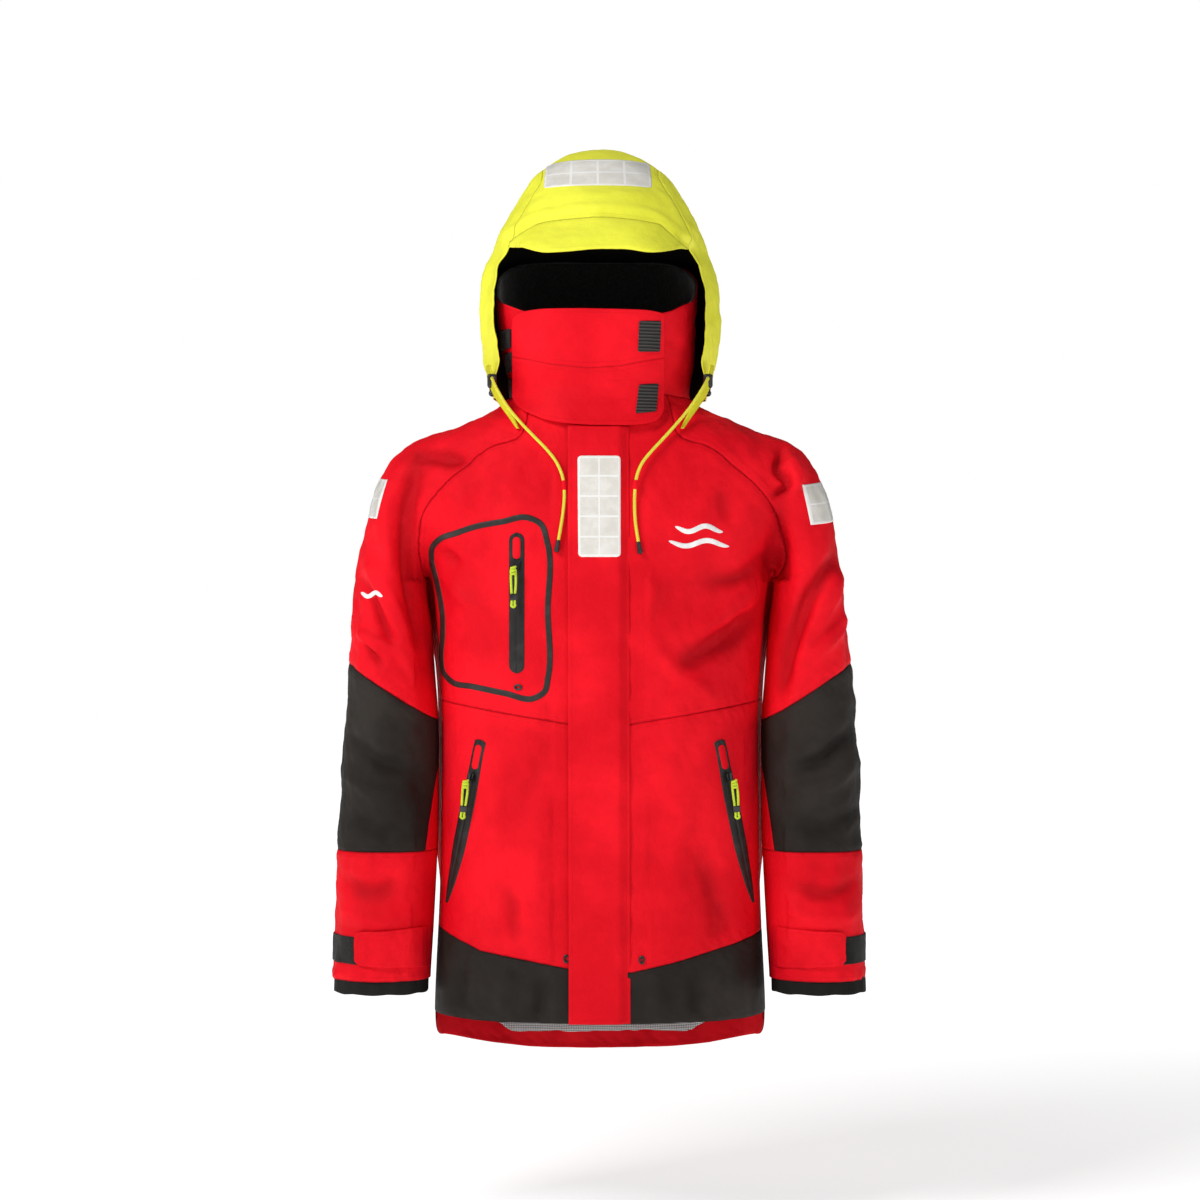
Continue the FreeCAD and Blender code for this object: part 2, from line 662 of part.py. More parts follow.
def pull_shape(side_turn):
    """A cord pull in the local frame of its slider: a knot, two strands, a clasp and a small loop."""
    thick = dim("pull_cord") / 2
    length, spread = dim("pull_length"), dim("pull_spread") / 2
    height = dim("slider_height") + thick + 0.4
    knot = Part.makeSphere(thick * 2.1, Vector(0, -3, height + 1.5))
    strands = []
    for side in (-1, 1):
        start = Vector(side * spread, -3, height)
        reach = Vector(side_turn, -length * 0.62, 0)
        strands.append(Part.makeCylinder(thick, reach.Length, start, reach))
    clasp_at = Vector(side_turn, -3 - length * 0.62 - 2, height)
    clasp = Part.makeBox(7.4, 7, 4.4, clasp_at + Vector(-3.7, -3.5, -2.2))
    clasp = clasp.makeFillet(1.2, clasp.Edges)
    loop = Part.makeTorus(3.6, thick * 0.9, clasp_at + Vector(side_turn * 0.2, -7, 0), Vector(0, 0, 1))
    whole = knot
    for shape in strands + [clasp, loop]:
        whole = whole.fuse(shape)
    return whole


def placed(shape, place):
    moved = shape.copy()
    moved.Placement = place
    return moved


def torso_front(x, z):
    """The y of the body's front face at (x, z), worked out from the two nearest stations."""
    rows = torso_stations()
    for low, high in zip(rows, rows[1:]):
        if low[0] <= z <= high[0]:
            t = (z - low[0]) / (high[0] - low[0])
            half, front, power = (low[k] + (high[k] - low[k]) * t for k in (1, 2, 4))
            return -front * (1 - abs(x / half) ** power) ** (1 / power)
    raise ValueError(f"no body at height {z}")


CHEST_SLIDER = (CHEST_ZIP_X, -203.0)
HAND_SLIDER = (-159.5, -470.0)
HAND_END = (-180.5, -586.0)
MAIN_SLIDER_Z = 112.0


def sliders_and_pulls():
    """Zip sliders for the main, chest and hand zips, with cord pulls on the pocket ones."""
    x, z = CHEST_SLIDER
    chest = frame_at((x, torso_front(x, z) - dim("tape_thick") - 1.8, z), (0, 0, 1), (0, -1, 0))
    slider_body("chest_slider", chest)
    keep(placed(pull_shape(-5.0), chest), "chest_pull")
    (x, z), (end_x, end_z) = HAND_SLIDER, HAND_END
    start, end = Vector(x, torso_front(x, z), z), Vector(end_x, torso_front(end_x, end_z), end_z)
    along = start - end
    across = Vector(x + 8, torso_front(x + 8, z), z) - Vector(x - 8, torso_front(x - 8, z), z)
    out = across.cross(along).normalize()
    out = out if out.y < 0 else -out
    at = start + out * (dim("tape_thick") + 3.0)
    place = frame_at(at, along, out)
    mirror_place = frame_at((-at.x, at.y, at.z), (-along.x, along.y, along.z), (-out.x, out.y, out.z))
    print(f"hand slider travel {along.Length:.1f} mm from {at} along {-along.normalize()}, outwards {out}")
    slider_body("hand_slider_right", place)
    slider_body("hand_slider_left", mirror_place)
    keep(placed(pull_shape(2.0), place), "hand_pull_right")
    keep(placed(pull_shape(-2.0), mirror_place), "hand_pull_left")
    front = -(dim("belly_front") - 33 + 6.2)
    slider_body("main_slider", frame_at((0, front - 0.6, MAIN_SLIDER_Z), (0, -0.06, 1), (0, -1, -0.06)))


LOCK_AT = Vector(-131, -81, 31)


def cord_locks():
    """Spring cord locks on the hood's lower corners: a rounded barrel and its push button."""
    width, height, depth = dim("lock_width"), dim("lock_height"), dim("lock_depth")
    shell = Part.makeBox(depth, width, height, LOCK_AT - Vector(depth, width / 2, height / 2))
    shell = shell.makeFillet(3.4, shell.Edges)
    well = Part.makeCylinder(dim("button_width") / 2 + 0.3, 8, LOCK_AT + Vector(-depth / 2, 0, -height / 2 - 1),
                             Vector(0, 0, 1))
    bore = Part.makeCylinder(dim("lock_bore") / 2, width + 4, LOCK_AT + Vector(-depth / 2, -width / 2 - 2, 3),
                             Vector(0, 1, 0))
    lock = shell.cut(well).cut(bore)
    both_sides(lock, "cord_lock")
    travel = dim("button_travel")
    stem = Part.makeCylinder(dim("button_width") / 2, 3 + travel,
                             LOCK_AT + Vector(-depth / 2, 0, -height / 2 - travel), Vector(0, 0, 1))
    cap = Part.makeSphere(dim("button_width") / 2 + 0.9, LOCK_AT + Vector(-depth / 2, 0, -height / 2 - travel - 3.4))
    both_sides(stem.fuse(cap).removeSplitter(), "lock_button")


# The right drawcord's free route: lock, over the chest, through its keeper, down to its end.
CORD_ROUTE = [(-137, -89.5, 34), (-134.5, -104, 27), (-128, -117, 13), (-117, -128, -4), (-102, -137, -22),
              (-85, -145, -41), (-69, -151, -58), (-58, -154, -76), (-52.5, -156, -95),
              (-50.5, -157, -115), (-50.5, -158, -135), (-52.5, -159.5, -155), (-56, -160, -174)]


def rounded_path(points):
    """Straight runs joined by tangent arcs, each as large as its two runs allow."""
    corner = [Vector(*p) for p in points]
    edges, last, radii = [], corner[0], []
    for before, here, after in zip(corner, corner[1:], corner[2:]):
        a, b = (before - here), (after - here)
        reach = 0.45 * min(a.Length, b.Length)
        a.normalize()
        b.normalize()
        start, end = here + a * reach, here + b * reach
        half_turn = (math.pi - a.getAngle(b)) / 2
        radius = reach / math.tan(half_turn)
        radii.append(radius)
        middle = (a + b).normalize()
        centre_gap = math.hypot(radius, reach) - radius
        edges.append(Part.LineSegment(last, start).toShape())
        edges.append(Part.Arc(start, here + middle * centre_gap, end).toShape())
        last = end
    edges.append(Part.LineSegment(last, corner[-1]).toShape())
    return Part.Wire(edges), radii


def drawcords():
    """Elastic drawcords, the fabric keepers that hold them, and their moulded ends."""
    radius = dim("drawcord") / 2
    path, radii = rounded_path(CORD_ROUTE)
    start, after = Vector(*CORD_ROUTE[0]), Vector(*CORD_ROUTE[1])
    ring = Part.Wire([Part.Circle(start, after - start, radius).toShape()])
    cord = path.makePipeShell([ring], True, False)
    print(f"drawcord: {path.Length:.1f} mm long, volume is {cord.Volume / (math.pi * radius ** 2 * path.Length):.4f}"
          f" of section times length, radii from {min(radii):.0f} to {max(radii):.0f} mm")
    both_sides(cord, "drawcord")
    last, end = Vector(*CORD_ROUTE[-2]), Vector(*CORD_ROUTE[-1])
    along = (end - last).normalize()
    tip = Part.makeCone(dim("end_radius") * 0.8, dim("end_radius"), dim("end_length"), end, along)
    keep(Part.makeCompound([tip, mirrored(tip)]), "cord_ends")
    a, b = Vector(*CORD_ROUTE[8]), Vector(*CORD_ROUTE[9])
    run = b - a
    tube = Part.makeCylinder(radius + 1.5, run.Length * 0.85, a + run * 0.075, run)
    tube = tube.cut(Part.makeCylinder(radius + 0.35, run.Length * 2, a - run * 0.5, run))
    keep(Part.makeCompound([tube, mirrored(tube)]), "cord_keepers")


def eyelets():
    """Moulded oval eyelets: a pair for the hem drawcord and one under the chest zip."""
    long, short = dim("eyelet_long"), dim("eyelet_short")
    reach = (long - short) / 2
    rings = []
    for x, z, dx, dz in ((-42, -695, 0, reach), (52, -695, 0, reach), (-102, -357, reach, 0)):
        line = [(x - dx, z - dz), (x + dx, z + dz)]
        ring = ribbon(line, short).cut(ribbon(line, dim("eyelet_hole") * 2))
        rings.append(skin(0, dim("eyelet_height"), ring))
    keep(Part.makeCompound(rings), "eyelets")


# ---------------------------------------------------------------- build, check and write

front_panels()
back_panels()
raglan_shoulders()
linings()
pocket_bags()
main_zip()
storm_flap()
chest_pocket()
hand_zips()
collar()
face_guard()
hood()
sleeves()
cuff_closures()
sliders_and_pulls()
cord_locks()
drawcords()
eyelets()

doc.recompute()
for item in doc.Objects:
    if {"Invalid", "Error"} & set(item.State):
        raise RuntimeError(f"{item.Label} failed: {item.State}")
os.makedirs("parts", exist_ok=True)
for piece in pieces:
    shape = piece.Shape
    if shape.isNull() or not shape.isValid() or not shape.Solids or shape.Volume < 1:
        raise RuntimeError(f"{piece.Label} has no valid solid")
    shape.exportStep(f"parts/{piece.Label}.step")
print(f"{len(pieces)} pieces written")
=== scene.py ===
import math

import bpy
import numpy as np
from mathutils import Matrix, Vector
from mathutils.bvhtree import BVHTree


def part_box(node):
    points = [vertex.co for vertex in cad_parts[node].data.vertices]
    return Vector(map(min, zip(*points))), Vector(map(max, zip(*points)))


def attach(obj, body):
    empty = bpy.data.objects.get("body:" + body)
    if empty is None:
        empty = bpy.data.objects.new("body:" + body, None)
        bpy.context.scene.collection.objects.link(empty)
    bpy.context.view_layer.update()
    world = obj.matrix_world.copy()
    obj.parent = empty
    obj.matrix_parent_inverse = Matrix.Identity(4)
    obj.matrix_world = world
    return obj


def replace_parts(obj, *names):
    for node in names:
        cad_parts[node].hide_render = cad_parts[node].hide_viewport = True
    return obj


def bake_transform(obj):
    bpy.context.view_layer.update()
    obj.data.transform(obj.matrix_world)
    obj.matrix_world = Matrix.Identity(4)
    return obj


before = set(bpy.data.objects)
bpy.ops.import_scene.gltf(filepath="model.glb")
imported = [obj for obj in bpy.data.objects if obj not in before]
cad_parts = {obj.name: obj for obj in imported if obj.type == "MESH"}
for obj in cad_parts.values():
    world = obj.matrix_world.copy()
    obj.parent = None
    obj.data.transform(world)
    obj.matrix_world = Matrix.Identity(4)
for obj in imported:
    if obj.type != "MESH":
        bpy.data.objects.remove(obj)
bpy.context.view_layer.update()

# Shapes below are in millimetres, x to the wearer's left and z up from the collar seam; MM turns them into metres.
MM = 0.001
scene = bpy.context.scene
SIDES = ((-1, "right"), (1, "left"))

# ------------------------------------------------------------------ camera and light

cam_data = bpy.data.cameras.new("camera")
cam_data.lens = 85.0
cam_data.sensor_width = 36.0
cam_data.clip_end = 50.0
camera = bpy.data.objects.new("camera", cam_data)
scene.collection.objects.link(camera)
camera.location = (0, -3.68, -0.247)
camera.rotation_euler = (math.radians(90), 0, 0)
scene.camera = camera

CHEST = (0, 0, -0.3)
for name, place, target, size, power in (
        ("key", (-2.1, -2.1, 1.9), CHEST, 1.2, 74), ("front", (1.3, -4.0, 0.5), CHEST, 1.6, 20),
        ("left_side", (-3.0, -0.6, 0.2), CHEST, 1.6, 8), ("right_side", (3.0, -0.9, 0.4), CHEST, 1.6, 9),
        ("top", (0, 0.3, 2.6), (0, 0, 0), 1.8, 10)):
    data = bpy.data.lights.new(name, "AREA")
    data.energy = power
    data.shape = "RECTANGLE"
    data.size = data.size_y = size
    light = bpy.data.objects.new(name, data)
    scene.collection.objects.link(light)
    light.location = place
    light.rotation_mode = "QUATERNION"
    light.rotation_quaternion = (Vector(target) - Vector(place)).to_track_quat("-Z", "Y")

# a white room that lights the jacket only faintly
WORLD_LIGHT, WORLD_SEEN = 0.10, 1.0
world = bpy.data.worlds.new("studio")
scene.world = world
world.use_nodes = True
background = world.node_tree.nodes["Background"]
background.inputs["Color"].default_value = (1, 1, 1, 1)
rays = world.node_tree.nodes.new("ShaderNodeLightPath")
level = world.node_tree.nodes.new("ShaderNodeMapRange")
level.inputs["To Min"].default_value = WORLD_LIGHT
level.inputs["To Max"].default_value = WORLD_SEEN
world.node_tree.links.new(rays.outputs["Is Camera Ray"], level.inputs["Value"])
world.node_tree.links.new(level.outputs[0], background.inputs["Strength"])
scene.view_settings.view_transform = "Standard"

# ------------------------------------------------------------------ small tools

def smooth(xs, ys, x):
    """Monotone cubic through the points (xs, ys), at x."""
    xs, ys, x = np.asarray(xs, float), np.asarray(ys, float), np.asarray(x, float)
    gap = np.diff(xs)
    rise = np.diff(ys) / gap
    slope = np.zeros(len(xs))
    slope[0], slope[-1] = rise[0], rise[-1]
    same = rise[:-1] * rise[1:] > 0
    inner = slope[1:-1]
    inner[same] = 2 * rise[:-1][same] * rise[1:][same] / (rise[:-1][same] + rise[1:][same])
    i = np.clip(np.searchsorted(xs, x) - 1, 0, len(xs) - 2)
    t = (x - xs[i]) / gap[i]
    a, b = slope[i] * gap[i], slope[i + 1] * gap[i]
    return (ys[i] * (2 * t**3 - 3 * t**2 + 1) + a * (t**3 - 2 * t**2 + t)
            + ys[i + 1] * (3 * t**2 - 2 * t**3) + b * (t**3 - t**2))


def step(t):
    t = np.clip(t, 0, 1)
    return t * t * (3 - 2 * t)


def bump(t):
    """1 at t = 0, falling smoothly to 0 by about |t| = 2.5."""
    return np.exp(-(t * t))


def line_distance(x, z, points):
    """Distance from each (x, z) to a polyline, and how far along it the nearest point is, 0 to 1."""
    pts = np.asarray(points, float)
    lengths = np.hypot(*np.diff(pts, axis=0).T)
    total, run = lengths.sum(), 0.0
    best, along = np.full(len(x), 1e9), np.zeros(len(x))
    for (x0, z0), (x1, z1), length in zip(pts, pts[1:], lengths):
        if length == 0:
            continue
        t = np.clip(((x - x0) * (x1 - x0) + (z - z0) * (z1 - z0)) / length**2, 0, 1)
        d = np.hypot(x - x0 - t * (x1 - x0), z - z0 - t * (z1 - z0))
        near = d < best
        best[near] = d[near]
        along[near] = (run + t[near] * length) / total
        run += length
    return best, along


def inside(x, z, polygon):
    """Whether each (x, z) is inside a closed polygon."""
    result = np.zeros(len(x), bool)
    px, pz = np.asarray(polygon, float).T
    for x0, z0, x1, z1 in zip(px, pz, np.roll(px, -1), np.roll(pz, -1)):
        if z0 == z1:
            continue
        hit = ((z0 > z) != (z1 > z)) & (x < (x1 - x0) * (z - z0) / (z1 - z0) + x0)
        result ^= hit
    return result


def signed(x, z, line, polygon):
    """Distance to the line, positive inside the polygon."""
    d, _ = line_distance(x, z, line)
    return np.where(inside(x, z, polygon), d, -d)


def rounded(points, count=80, closed=False):
    """Points on a smooth curve through a few (x, z) points."""
    pts = np.asarray(points, float)
    if closed:
        pts = np.vstack([pts[-2:], pts, pts[:3]])
    gaps = np.hypot(*np.diff(pts, axis=0).T)
    s = np.concatenate([[0], np.cumsum(gaps)])
    low, high = (s[2], s[-3]) if closed else (0, s[-1])
    at = np.linspace(low, high, count, endpoint=not closed)
    m = np.gradient(pts, s, axis=0)
    i = np.clip(np.searchsorted(s, at) - 1, 0, len(s) - 2)
    h = (s[i + 1] - s[i])[:, None]
    t = ((at - s[i]) / h[:, 0])[:, None]
    out = (pts[i] * (2 * t**3 - 3 * t**2 + 1) + m[i] * h * (t**3 - 2 * t**2 + t)
           + pts[i + 1] * (3 * t**2 - 2 * t**3) + m[i + 1] * h * (t**3 - t**2))
    return out


def super_ring(half_width, front, back, power, count):
    a = 2 * np.pi * (np.arange(count) + 0.5) / count
    c, s = np.cos(a), np.sin(a)
    x = np.sign(c) * np.abs(c) ** (2 / power) * half_width
    y = np.sign(s) * np.abs(s) ** (2 / power)
    return x, np.where(y > 0, y * back, y * front)


def waves(p, scale, seed, stretch=(1, 1, 1), octaves=3):
    """Smooth seeded unevenness, about -1 to 1, with features about scale millimetres wide."""
    r = np.random.default_rng(seed)
    q = p / (np.asarray(stretch, float) * scale)
    total, weight = np.zeros(len(p)), 0.0
    for octave in range(octaves):
        for _ in range(5):
            k = r.normal(size=3)
            k *= 2 ** octave * 3.2 / np.linalg.norm(k)
            phase = r.uniform(0, 2 * np.pi)
            bend = 0.9 * np.sin(q @ (k[[1, 2, 0]] * 0.53) + phase * 1.7)
            total += np.sin(q @ k + phase + bend) * 0.6 ** octave
        weight += 0.6 ** octave
    return total / (weight * 2.2)


# ------------------------------------------------------------------ meshes

def new_mesh(name, verts, faces, materials=(), smooth_shade=True):
    """A mesh object from millimetre points."""
    mesh = bpy.data.meshes.new(name)
    mesh.from_pydata((np.asarray(verts, float) * MM).tolist(), [], [list(map(int, f)) for f in faces])
    mesh.update()
    if smooth_shade:
        mesh.polygons.foreach_set("use_smooth", [True] * len(mesh.polygons))
    for m in materials:
        mesh.materials.append(m)
    obj = bpy.data.objects.new(name, mesh)
    scene.collection.objects.link(obj)
    return obj


def grid_faces(rows, columns, closed=False):
    faces = []
    wide = columns if closed else columns - 1
    for r in range(rows - 1):
        for c in range(wide):
            d = (c + 1) % columns
            faces.append((r * columns + c, r * columns + d, (r + 1) * columns + d, (r + 1) * columns + c))
    return faces


def edges_of(tris):
    """The edges of some triangles, and how many triangles use each."""
    pairs = np.vstack([tris[:, [0, 1]], tris[:, [1, 2]], tris[:, [2, 0]]])
    pairs.sort(axis=1)
    return np.unique(pairs, axis=0, return_counts=True)


def renumbered(tris, count):
    """The vertices that some triangles use, and the triangles numbered by them."""
    used = np.unique(tris)
    new = np.full(count, -1)
    new[used] = np.arange(len(used))
    return used, new[tris]


def tree_of(points, faces):
    return BVHTree.FromPolygons(np.asarray(points).tolist(), np.asarray(faces).tolist())


def facing(spots, faces, axis=1, way=-1):
    """The faces, turned round unless they look the given way along an axis."""
    p = spots[np.array(faces[0])]
    return faces if np.cross(p[2] - p[0], p[3] - p[1])[axis] * way >= 0 else [f[::-1] for f in faces]


def point_normals(points, faces):
    p = points[faces]
    n = np.cross(p[:, 2] - p[:, 0], p[:, -1] - p[:, 1]) if faces.shape[1] == 4 else \
        np.cross(p[:, 1] - p[:, 0], p[:, 2] - p[:, 0])
    out = np.zeros_like(points)
    for k in range(3):
        for j in range(faces.shape[1]):
            out[:, k] += np.bincount(faces[:, j], n[:, k], len(points))
    return out / np.maximum(np.linalg.norm(out, axis=1), 1e-9)[:, None]


def sheet(name, points, faces, thickness, outer, inner=None, rim=0, normals=None, attributes=None, lift=0.0):
    """A closed sheet of cloth: faces on the given points, and again thickness millimetres behind them."""
    points = np.asarray(points, float)
    size = len(faces[0])
    faces = np.asarray(faces, int)
    if normals is None:
        normals = point_normals(points, faces)
    top = points + normals * lift
    back = points + normals * (lift - np.asarray(thickness, float).reshape(-1, 1))
    e = np.vstack([faces[:, [i, (i + 1) % size]] for i in range(size)])
    key = np.sort(e, axis=1)
    code = key[:, 0] * len(points) + key[:, 1]
    _, first, count = np.unique(code, return_index=True, return_counts=True)
    edge = e[first[count == 1]]
    n = len(points)
    all_faces = faces.tolist() + (faces[:, ::-1] + n).tolist()
    all_faces += np.column_stack([edge[:, 1], edge[:, 0], edge[:, 0] + n, edge[:, 1] + n]).tolist()
    materials = [outer, inner or outer]
    obj = new_mesh(name, np.vstack([top, back]), all_faces, materials)
    index = np.zeros(len(all_faces), np.int32)
    index[len(faces):2 * len(faces)] = 1
    index[2 * len(faces):] = rim
    obj.data.polygons.foreach_set("material_index", index)
    for key_name, values in (attributes or {}).items():
        made = obj.data.attributes.new(key_name, "FLOAT", "POINT")
        made.data.foreach_set("value", np.concatenate([values, values]).astype(np.float32))
    return obj


class Shell:
    """A triangle skin in millimetres that can be smoothed, displaced and cut along curves."""

    def __init__(self, tubes, voxel):
        verts, faces = [], []
        for rings in tubes:
            rows, columns = rings.shape[:2]
            base = len(verts)
            verts += rings.reshape(-1, 3).tolist()
            faces += [tuple(base + i for i in f) for f in grid_faces(rows, columns, True)]
            faces.append(tuple(base + c for c in range(columns))[::-1])
            faces.append(tuple(base + (rows - 1) * columns + c for c in range(columns)))
        mesh = bpy.data.meshes.new("work")
        mesh.from_pydata(verts, [], faces)
        work = bpy.data.objects.new("work", mesh)
        scene.collection.objects.link(work)
        mod = work.modifiers.new("voxels", "REMESH")
        mod.mode = "VOXEL"
        mod.voxel_size = voxel
        graph = bpy.context.evaluated_depsgraph_get()
        made = bpy.data.meshes.new_from_object(work.evaluated_get(graph))
        self.points = np.zeros(len(made.vertices) * 3)
        made.vertices.foreach_get("co", self.points)
        self.points = self.points.reshape(-1, 3)
        made.calc_loop_triangles()
        tris = np.zeros(len(made.loop_triangles) * 3, np.int32)
        made.loop_triangles.foreach_get("vertices", tris)
        self.tris = tris.reshape(-1, 3)
        bpy.data.objects.remove(work)
        bpy.data.meshes.remove(mesh)
        bpy.data.meshes.remove(made)
        self.find_edges()
        self.locked = np.zeros(len(self.points), bool)
        self.marks = {}

    def find_edges(self):
        self.edges, self.edge_uses = edges_of(self.tris)

    def relax(self, times, amount=0.5, where=None):
        a, b = self.edges.T
        n = len(self.points)
        degree = np.bincount(a, minlength=n) + np.bincount(b, minlength=n)
        degree = np.maximum(degree, 1)[:, None]
        keep = amount if where is None else (amount * where)[:, None]
        for _ in range(times):
            total = np.zeros((n, 3))
            for k in range(3):
                total[:, k] = (np.bincount(a, self.points[b, k], n) + np.bincount(b, self.points[a, k], n))
            self.points += keep * (total / degree - self.points)

    def normals(self):
        return point_normals(self.points, self.tris)

    def cut(self, f, where=None):
        """Moves the nearest vertices on to f = 0 and returns True for each triangle on its positive side."""
        f = f.copy()
        a, b = self.edges.T
        cross = f[a] * f[b] < 0
        if where is not None:
            cross &= where[a] & where[b]
        a, b = a[cross], b[cross]
        t = f[a] / (f[a] - f[b])
        pick_a = (t < 0.5) & ~self.locked[a] | self.locked[b]
        v = np.where(pick_a, a, b)
        move = np.where(pick_a, t, 1 - t)
        free = ~self.locked[v]
        v, t, a, b, move = v[free], t[free], a[free], b[free], move[free]
        place = self.points[a] + (self.points[b] - self.points[a]) * t[:, None]
        order = np.argsort(-move)
        self.points[v[order]] = place[order]
        f[v] = 0
        self.locked[v] = True
        corner = f[self.tris]
        far = np.abs(corner).argmax(axis=1)
        return corner[np.arange(len(corner)), far] > 0

    def centres(self):
        return self.points[self.tris].mean(axis=1)

    def drop(self, keep):
        """Keeps only some triangles, and the vertices they use."""
        for name in self.marks:
            self.marks[name] = self.marks[name][keep]
        self.tris = self.tris[keep]
        used, self.tris = renumbered(self.tris, len(self.points))
        self.points, self.locked = self.points[used], self.locked[used]
        self.find_edges()

    def seam_distance(self, start, reach=8):
        """Distance over the surface from the marked vertices, in millimetres."""
        d = np.where(start, 0.0, 99.0)
        a, b = self.edges.T
        length = np.linalg.norm(self.points[a] - self.points[b], axis=1)
        for _ in range(reach):
            np.minimum.at(d, a, d[b] + length)
            np.minimum.at(d, b, d[a] + length)
        return np.minimum(d, 40)

    def borders(self, labels):
        """True for each vertex that more than one label, or an open edge, meets."""
        low = np.full(len(self.points), 999)
        high = np.full(len(self.points), -1)
        for j in range(3):
            np.minimum.at(low, self.tris[:, j], labels)
            np.maximum.at(high, self.tris[:, j], labels)
        edge = low != high
        edge[self.edges[self.edge_uses == 1].ravel()] = True
        return edge

    def cloth(self, name, chosen, thickness, outer, inner, normals, attributes=None, lift=0.0):
        """A new sheet of cloth from some of the triangles."""
        used, tris = renumbered(self.tris[chosen], len(self.points))
        marks = {key: values[used] for key, values in (attributes or {}).items()}
        return sheet(name, self.points[used], tris, thickness, outer, inner, normals=normals[used],
                     attributes=marks, lift=lift)


# ------------------------------------------------------------------ materials

def feed(socket, value):
    """Gives an input a number, a colour or another node's output."""
    if isinstance(value, Wire):
        socket.id_data.links.new(value.socket, socket)
    elif value is not None:
        socket.default_value = (*value, 1) if isinstance(value, tuple) and len(value) == 3 else value


class Wire:
    """A node's output, with arithmetic that adds Math nodes after it."""

    def __init__(self, socket):
        self.socket = socket

    def maths(self, operation, a, b=None):
        node = self.socket.id_data.nodes.new("ShaderNodeMath")
        node.operation = operation
        feed(node.inputs[0], a)
        feed(node.inputs[1], b)
        return Wire(node.outputs[0])

    def __add__(self, other):
        return self.maths("ADD", self, other)

    def __sub__(self, other):
        return self.maths("SUBTRACT", self, other)

    def __rsub__(self, other):
        return self.maths("SUBTRACT", other, self)

    def __mul__(self, other):
        return self.maths("MULTIPLY", self, other)

    def sine(self, turn):
        return self.maths("SINE", self * turn)

    def biggest(self, other):
        return self.maths("MAXIMUM", self, other)

    def smallest(self, other):
        return self.maths("MINIMUM", self, other)

    def below(self, limit):
        return self.maths("LESS_THAN", self, limit)


class Look:
    """A new material with its nodes, laid out by the place on the object."""

    def __init__(self, name):
        self.material = bpy.data.materials.new(name)
        self.material.use_nodes = True
        self.tree = self.material.node_tree
        self.shader = self.tree.nodes["Principled BSDF"]
        self.place = self.node("ShaderNodeTexCoord", "Object")

    def node(self, kind, output=0, settings=(), **inputs):
        node = self.tree.nodes.new(kind)
        for key, value in settings:
            setattr(node, key, value)
        for key, value in inputs.items():
            feed(node.inputs[key.replace("_", " ")], value)
        return Wire(node.outputs[output])

    def axes(self):
        parts = self.tree.nodes.new("ShaderNodeSeparateXYZ")
        feed(parts.inputs[0], self.place)
        return [Wire(out) for out in parts.outputs]

    def attribute(self, key):
        return self.node("ShaderNodeAttribute", "Fac", [("attribute_name", key)])

    def noise(self, scale, detail=3.0, rough=0.55):
        return self.node("ShaderNodeTexNoise", "Fac", Vector=self.place, Scale=scale, Detail=detail, Roughness=rough)

    def ramp(self, value, low, high):
        return self.node("ShaderNodeMapRange", 0, [("interpolation_type", "SMOOTHSTEP")],
                         Value=value, From_Min=low, From_Max=high)

    def mix(self, factor, a, b):
        node = self.tree.nodes.new("ShaderNodeMix")
        node.data_type = "RGBA"
        for socket, value in zip((node.inputs[0], node.inputs[6], node.inputs[7]), (factor, a, b)):
            feed(socket, value)
        return Wire(node.outputs[2])

    def bump(self, height, strength, distance, before=None):
        return self.node("ShaderNodeBump", 0, Height=height, Strength=strength, Distance=distance, Normal=before)

    def shade(self, **inputs):
        """Sets the shader's inputs and gives the material."""
        for key, value in inputs.items():
            feed(self.shader.inputs[key.replace("_", " ")], value)
        return self.material


def scaled(colour, factor, more=0.0, most=None):
    values = tuple(c * factor + more for c in colour)
    return values if most is None else tuple(min(most, c) for c in values)


def cloth(name, colour, rough=0.62, pitch=0.9, weave=0.25, variation=0.10, crease=0.25, sheen=0.12,
          seam=True, glow=0.0, specular=0.35, groove_shade=0.45):
    """A coated woven shell cloth: thread relief, soft creasing, colour variation, painted shade in creases and in the
    seam groove, seam line and stitches.
    """
    look = Look(name)
    x, y, z = look.axes()
    broad, fine = look.noise(9.0, 4.0), look.noise(160.0, 2.0)
    tone = look.mix(look.ramp(broad, 0.35, 0.68), scaled(colour, 1 - variation * 1.6),
                    scaled(colour, 1 + variation, 0.004, 1))
    tone = look.mix(fine * 0.25, tone, scaled(colour, 0.8))
    # darker in the creases, by how deep each point lies in one: painted shade
    tone = look.mix(look.attribute("crease_shade") * 0.62, tone, scaled(colour, 0.42))
    thread = 2 * math.pi / (pitch * MM)
    height = (x + y).sine(thread) * z.sine(thread) * weave + fine * 0.5
    if seam:
        distance = look.attribute("seam")
        # darker in the seam groove and at the pieces' edges: painted shade
        groove = 1.0 - look.ramp(distance, 0.2, 1.5)
        tone = look.mix(groove * groove_shade, tone, scaled(colour, 0.25))
        away = distance - 6.0
        row = 1.0 - look.ramp(away.maths("ABSOLUTE", away), 0.1, 0.7)
        dash = (x + z * 0.83).sine(2 * math.pi / 0.0032)
        stitch = row * dash.maths("GREATER_THAN", dash, -0.45)
        tone = look.mix(stitch * 0.35, tone, scaled(colour, 0.55))
        height = height - groove * 3.0 + stitch * 0.7
    soft = look.bump(look.noise(22.0, 5.0, 0.6), crease, 0.006)
    if glow:
        look.shade(Emission_Color=tone, Emission_Strength=glow)
    return look.shade(Base_Color=tone, Normal=look.bump(height, 0.5, 0.0003, soft),
                      Roughness=broad * 0.16 + (rough - 0.08), Sheen_Weight=sheen, Sheen_Roughness=0.5,
                      Sheen_Tint=scaled(colour, 1.3, 0.05, 1), Specular_IOR_Level=specular)


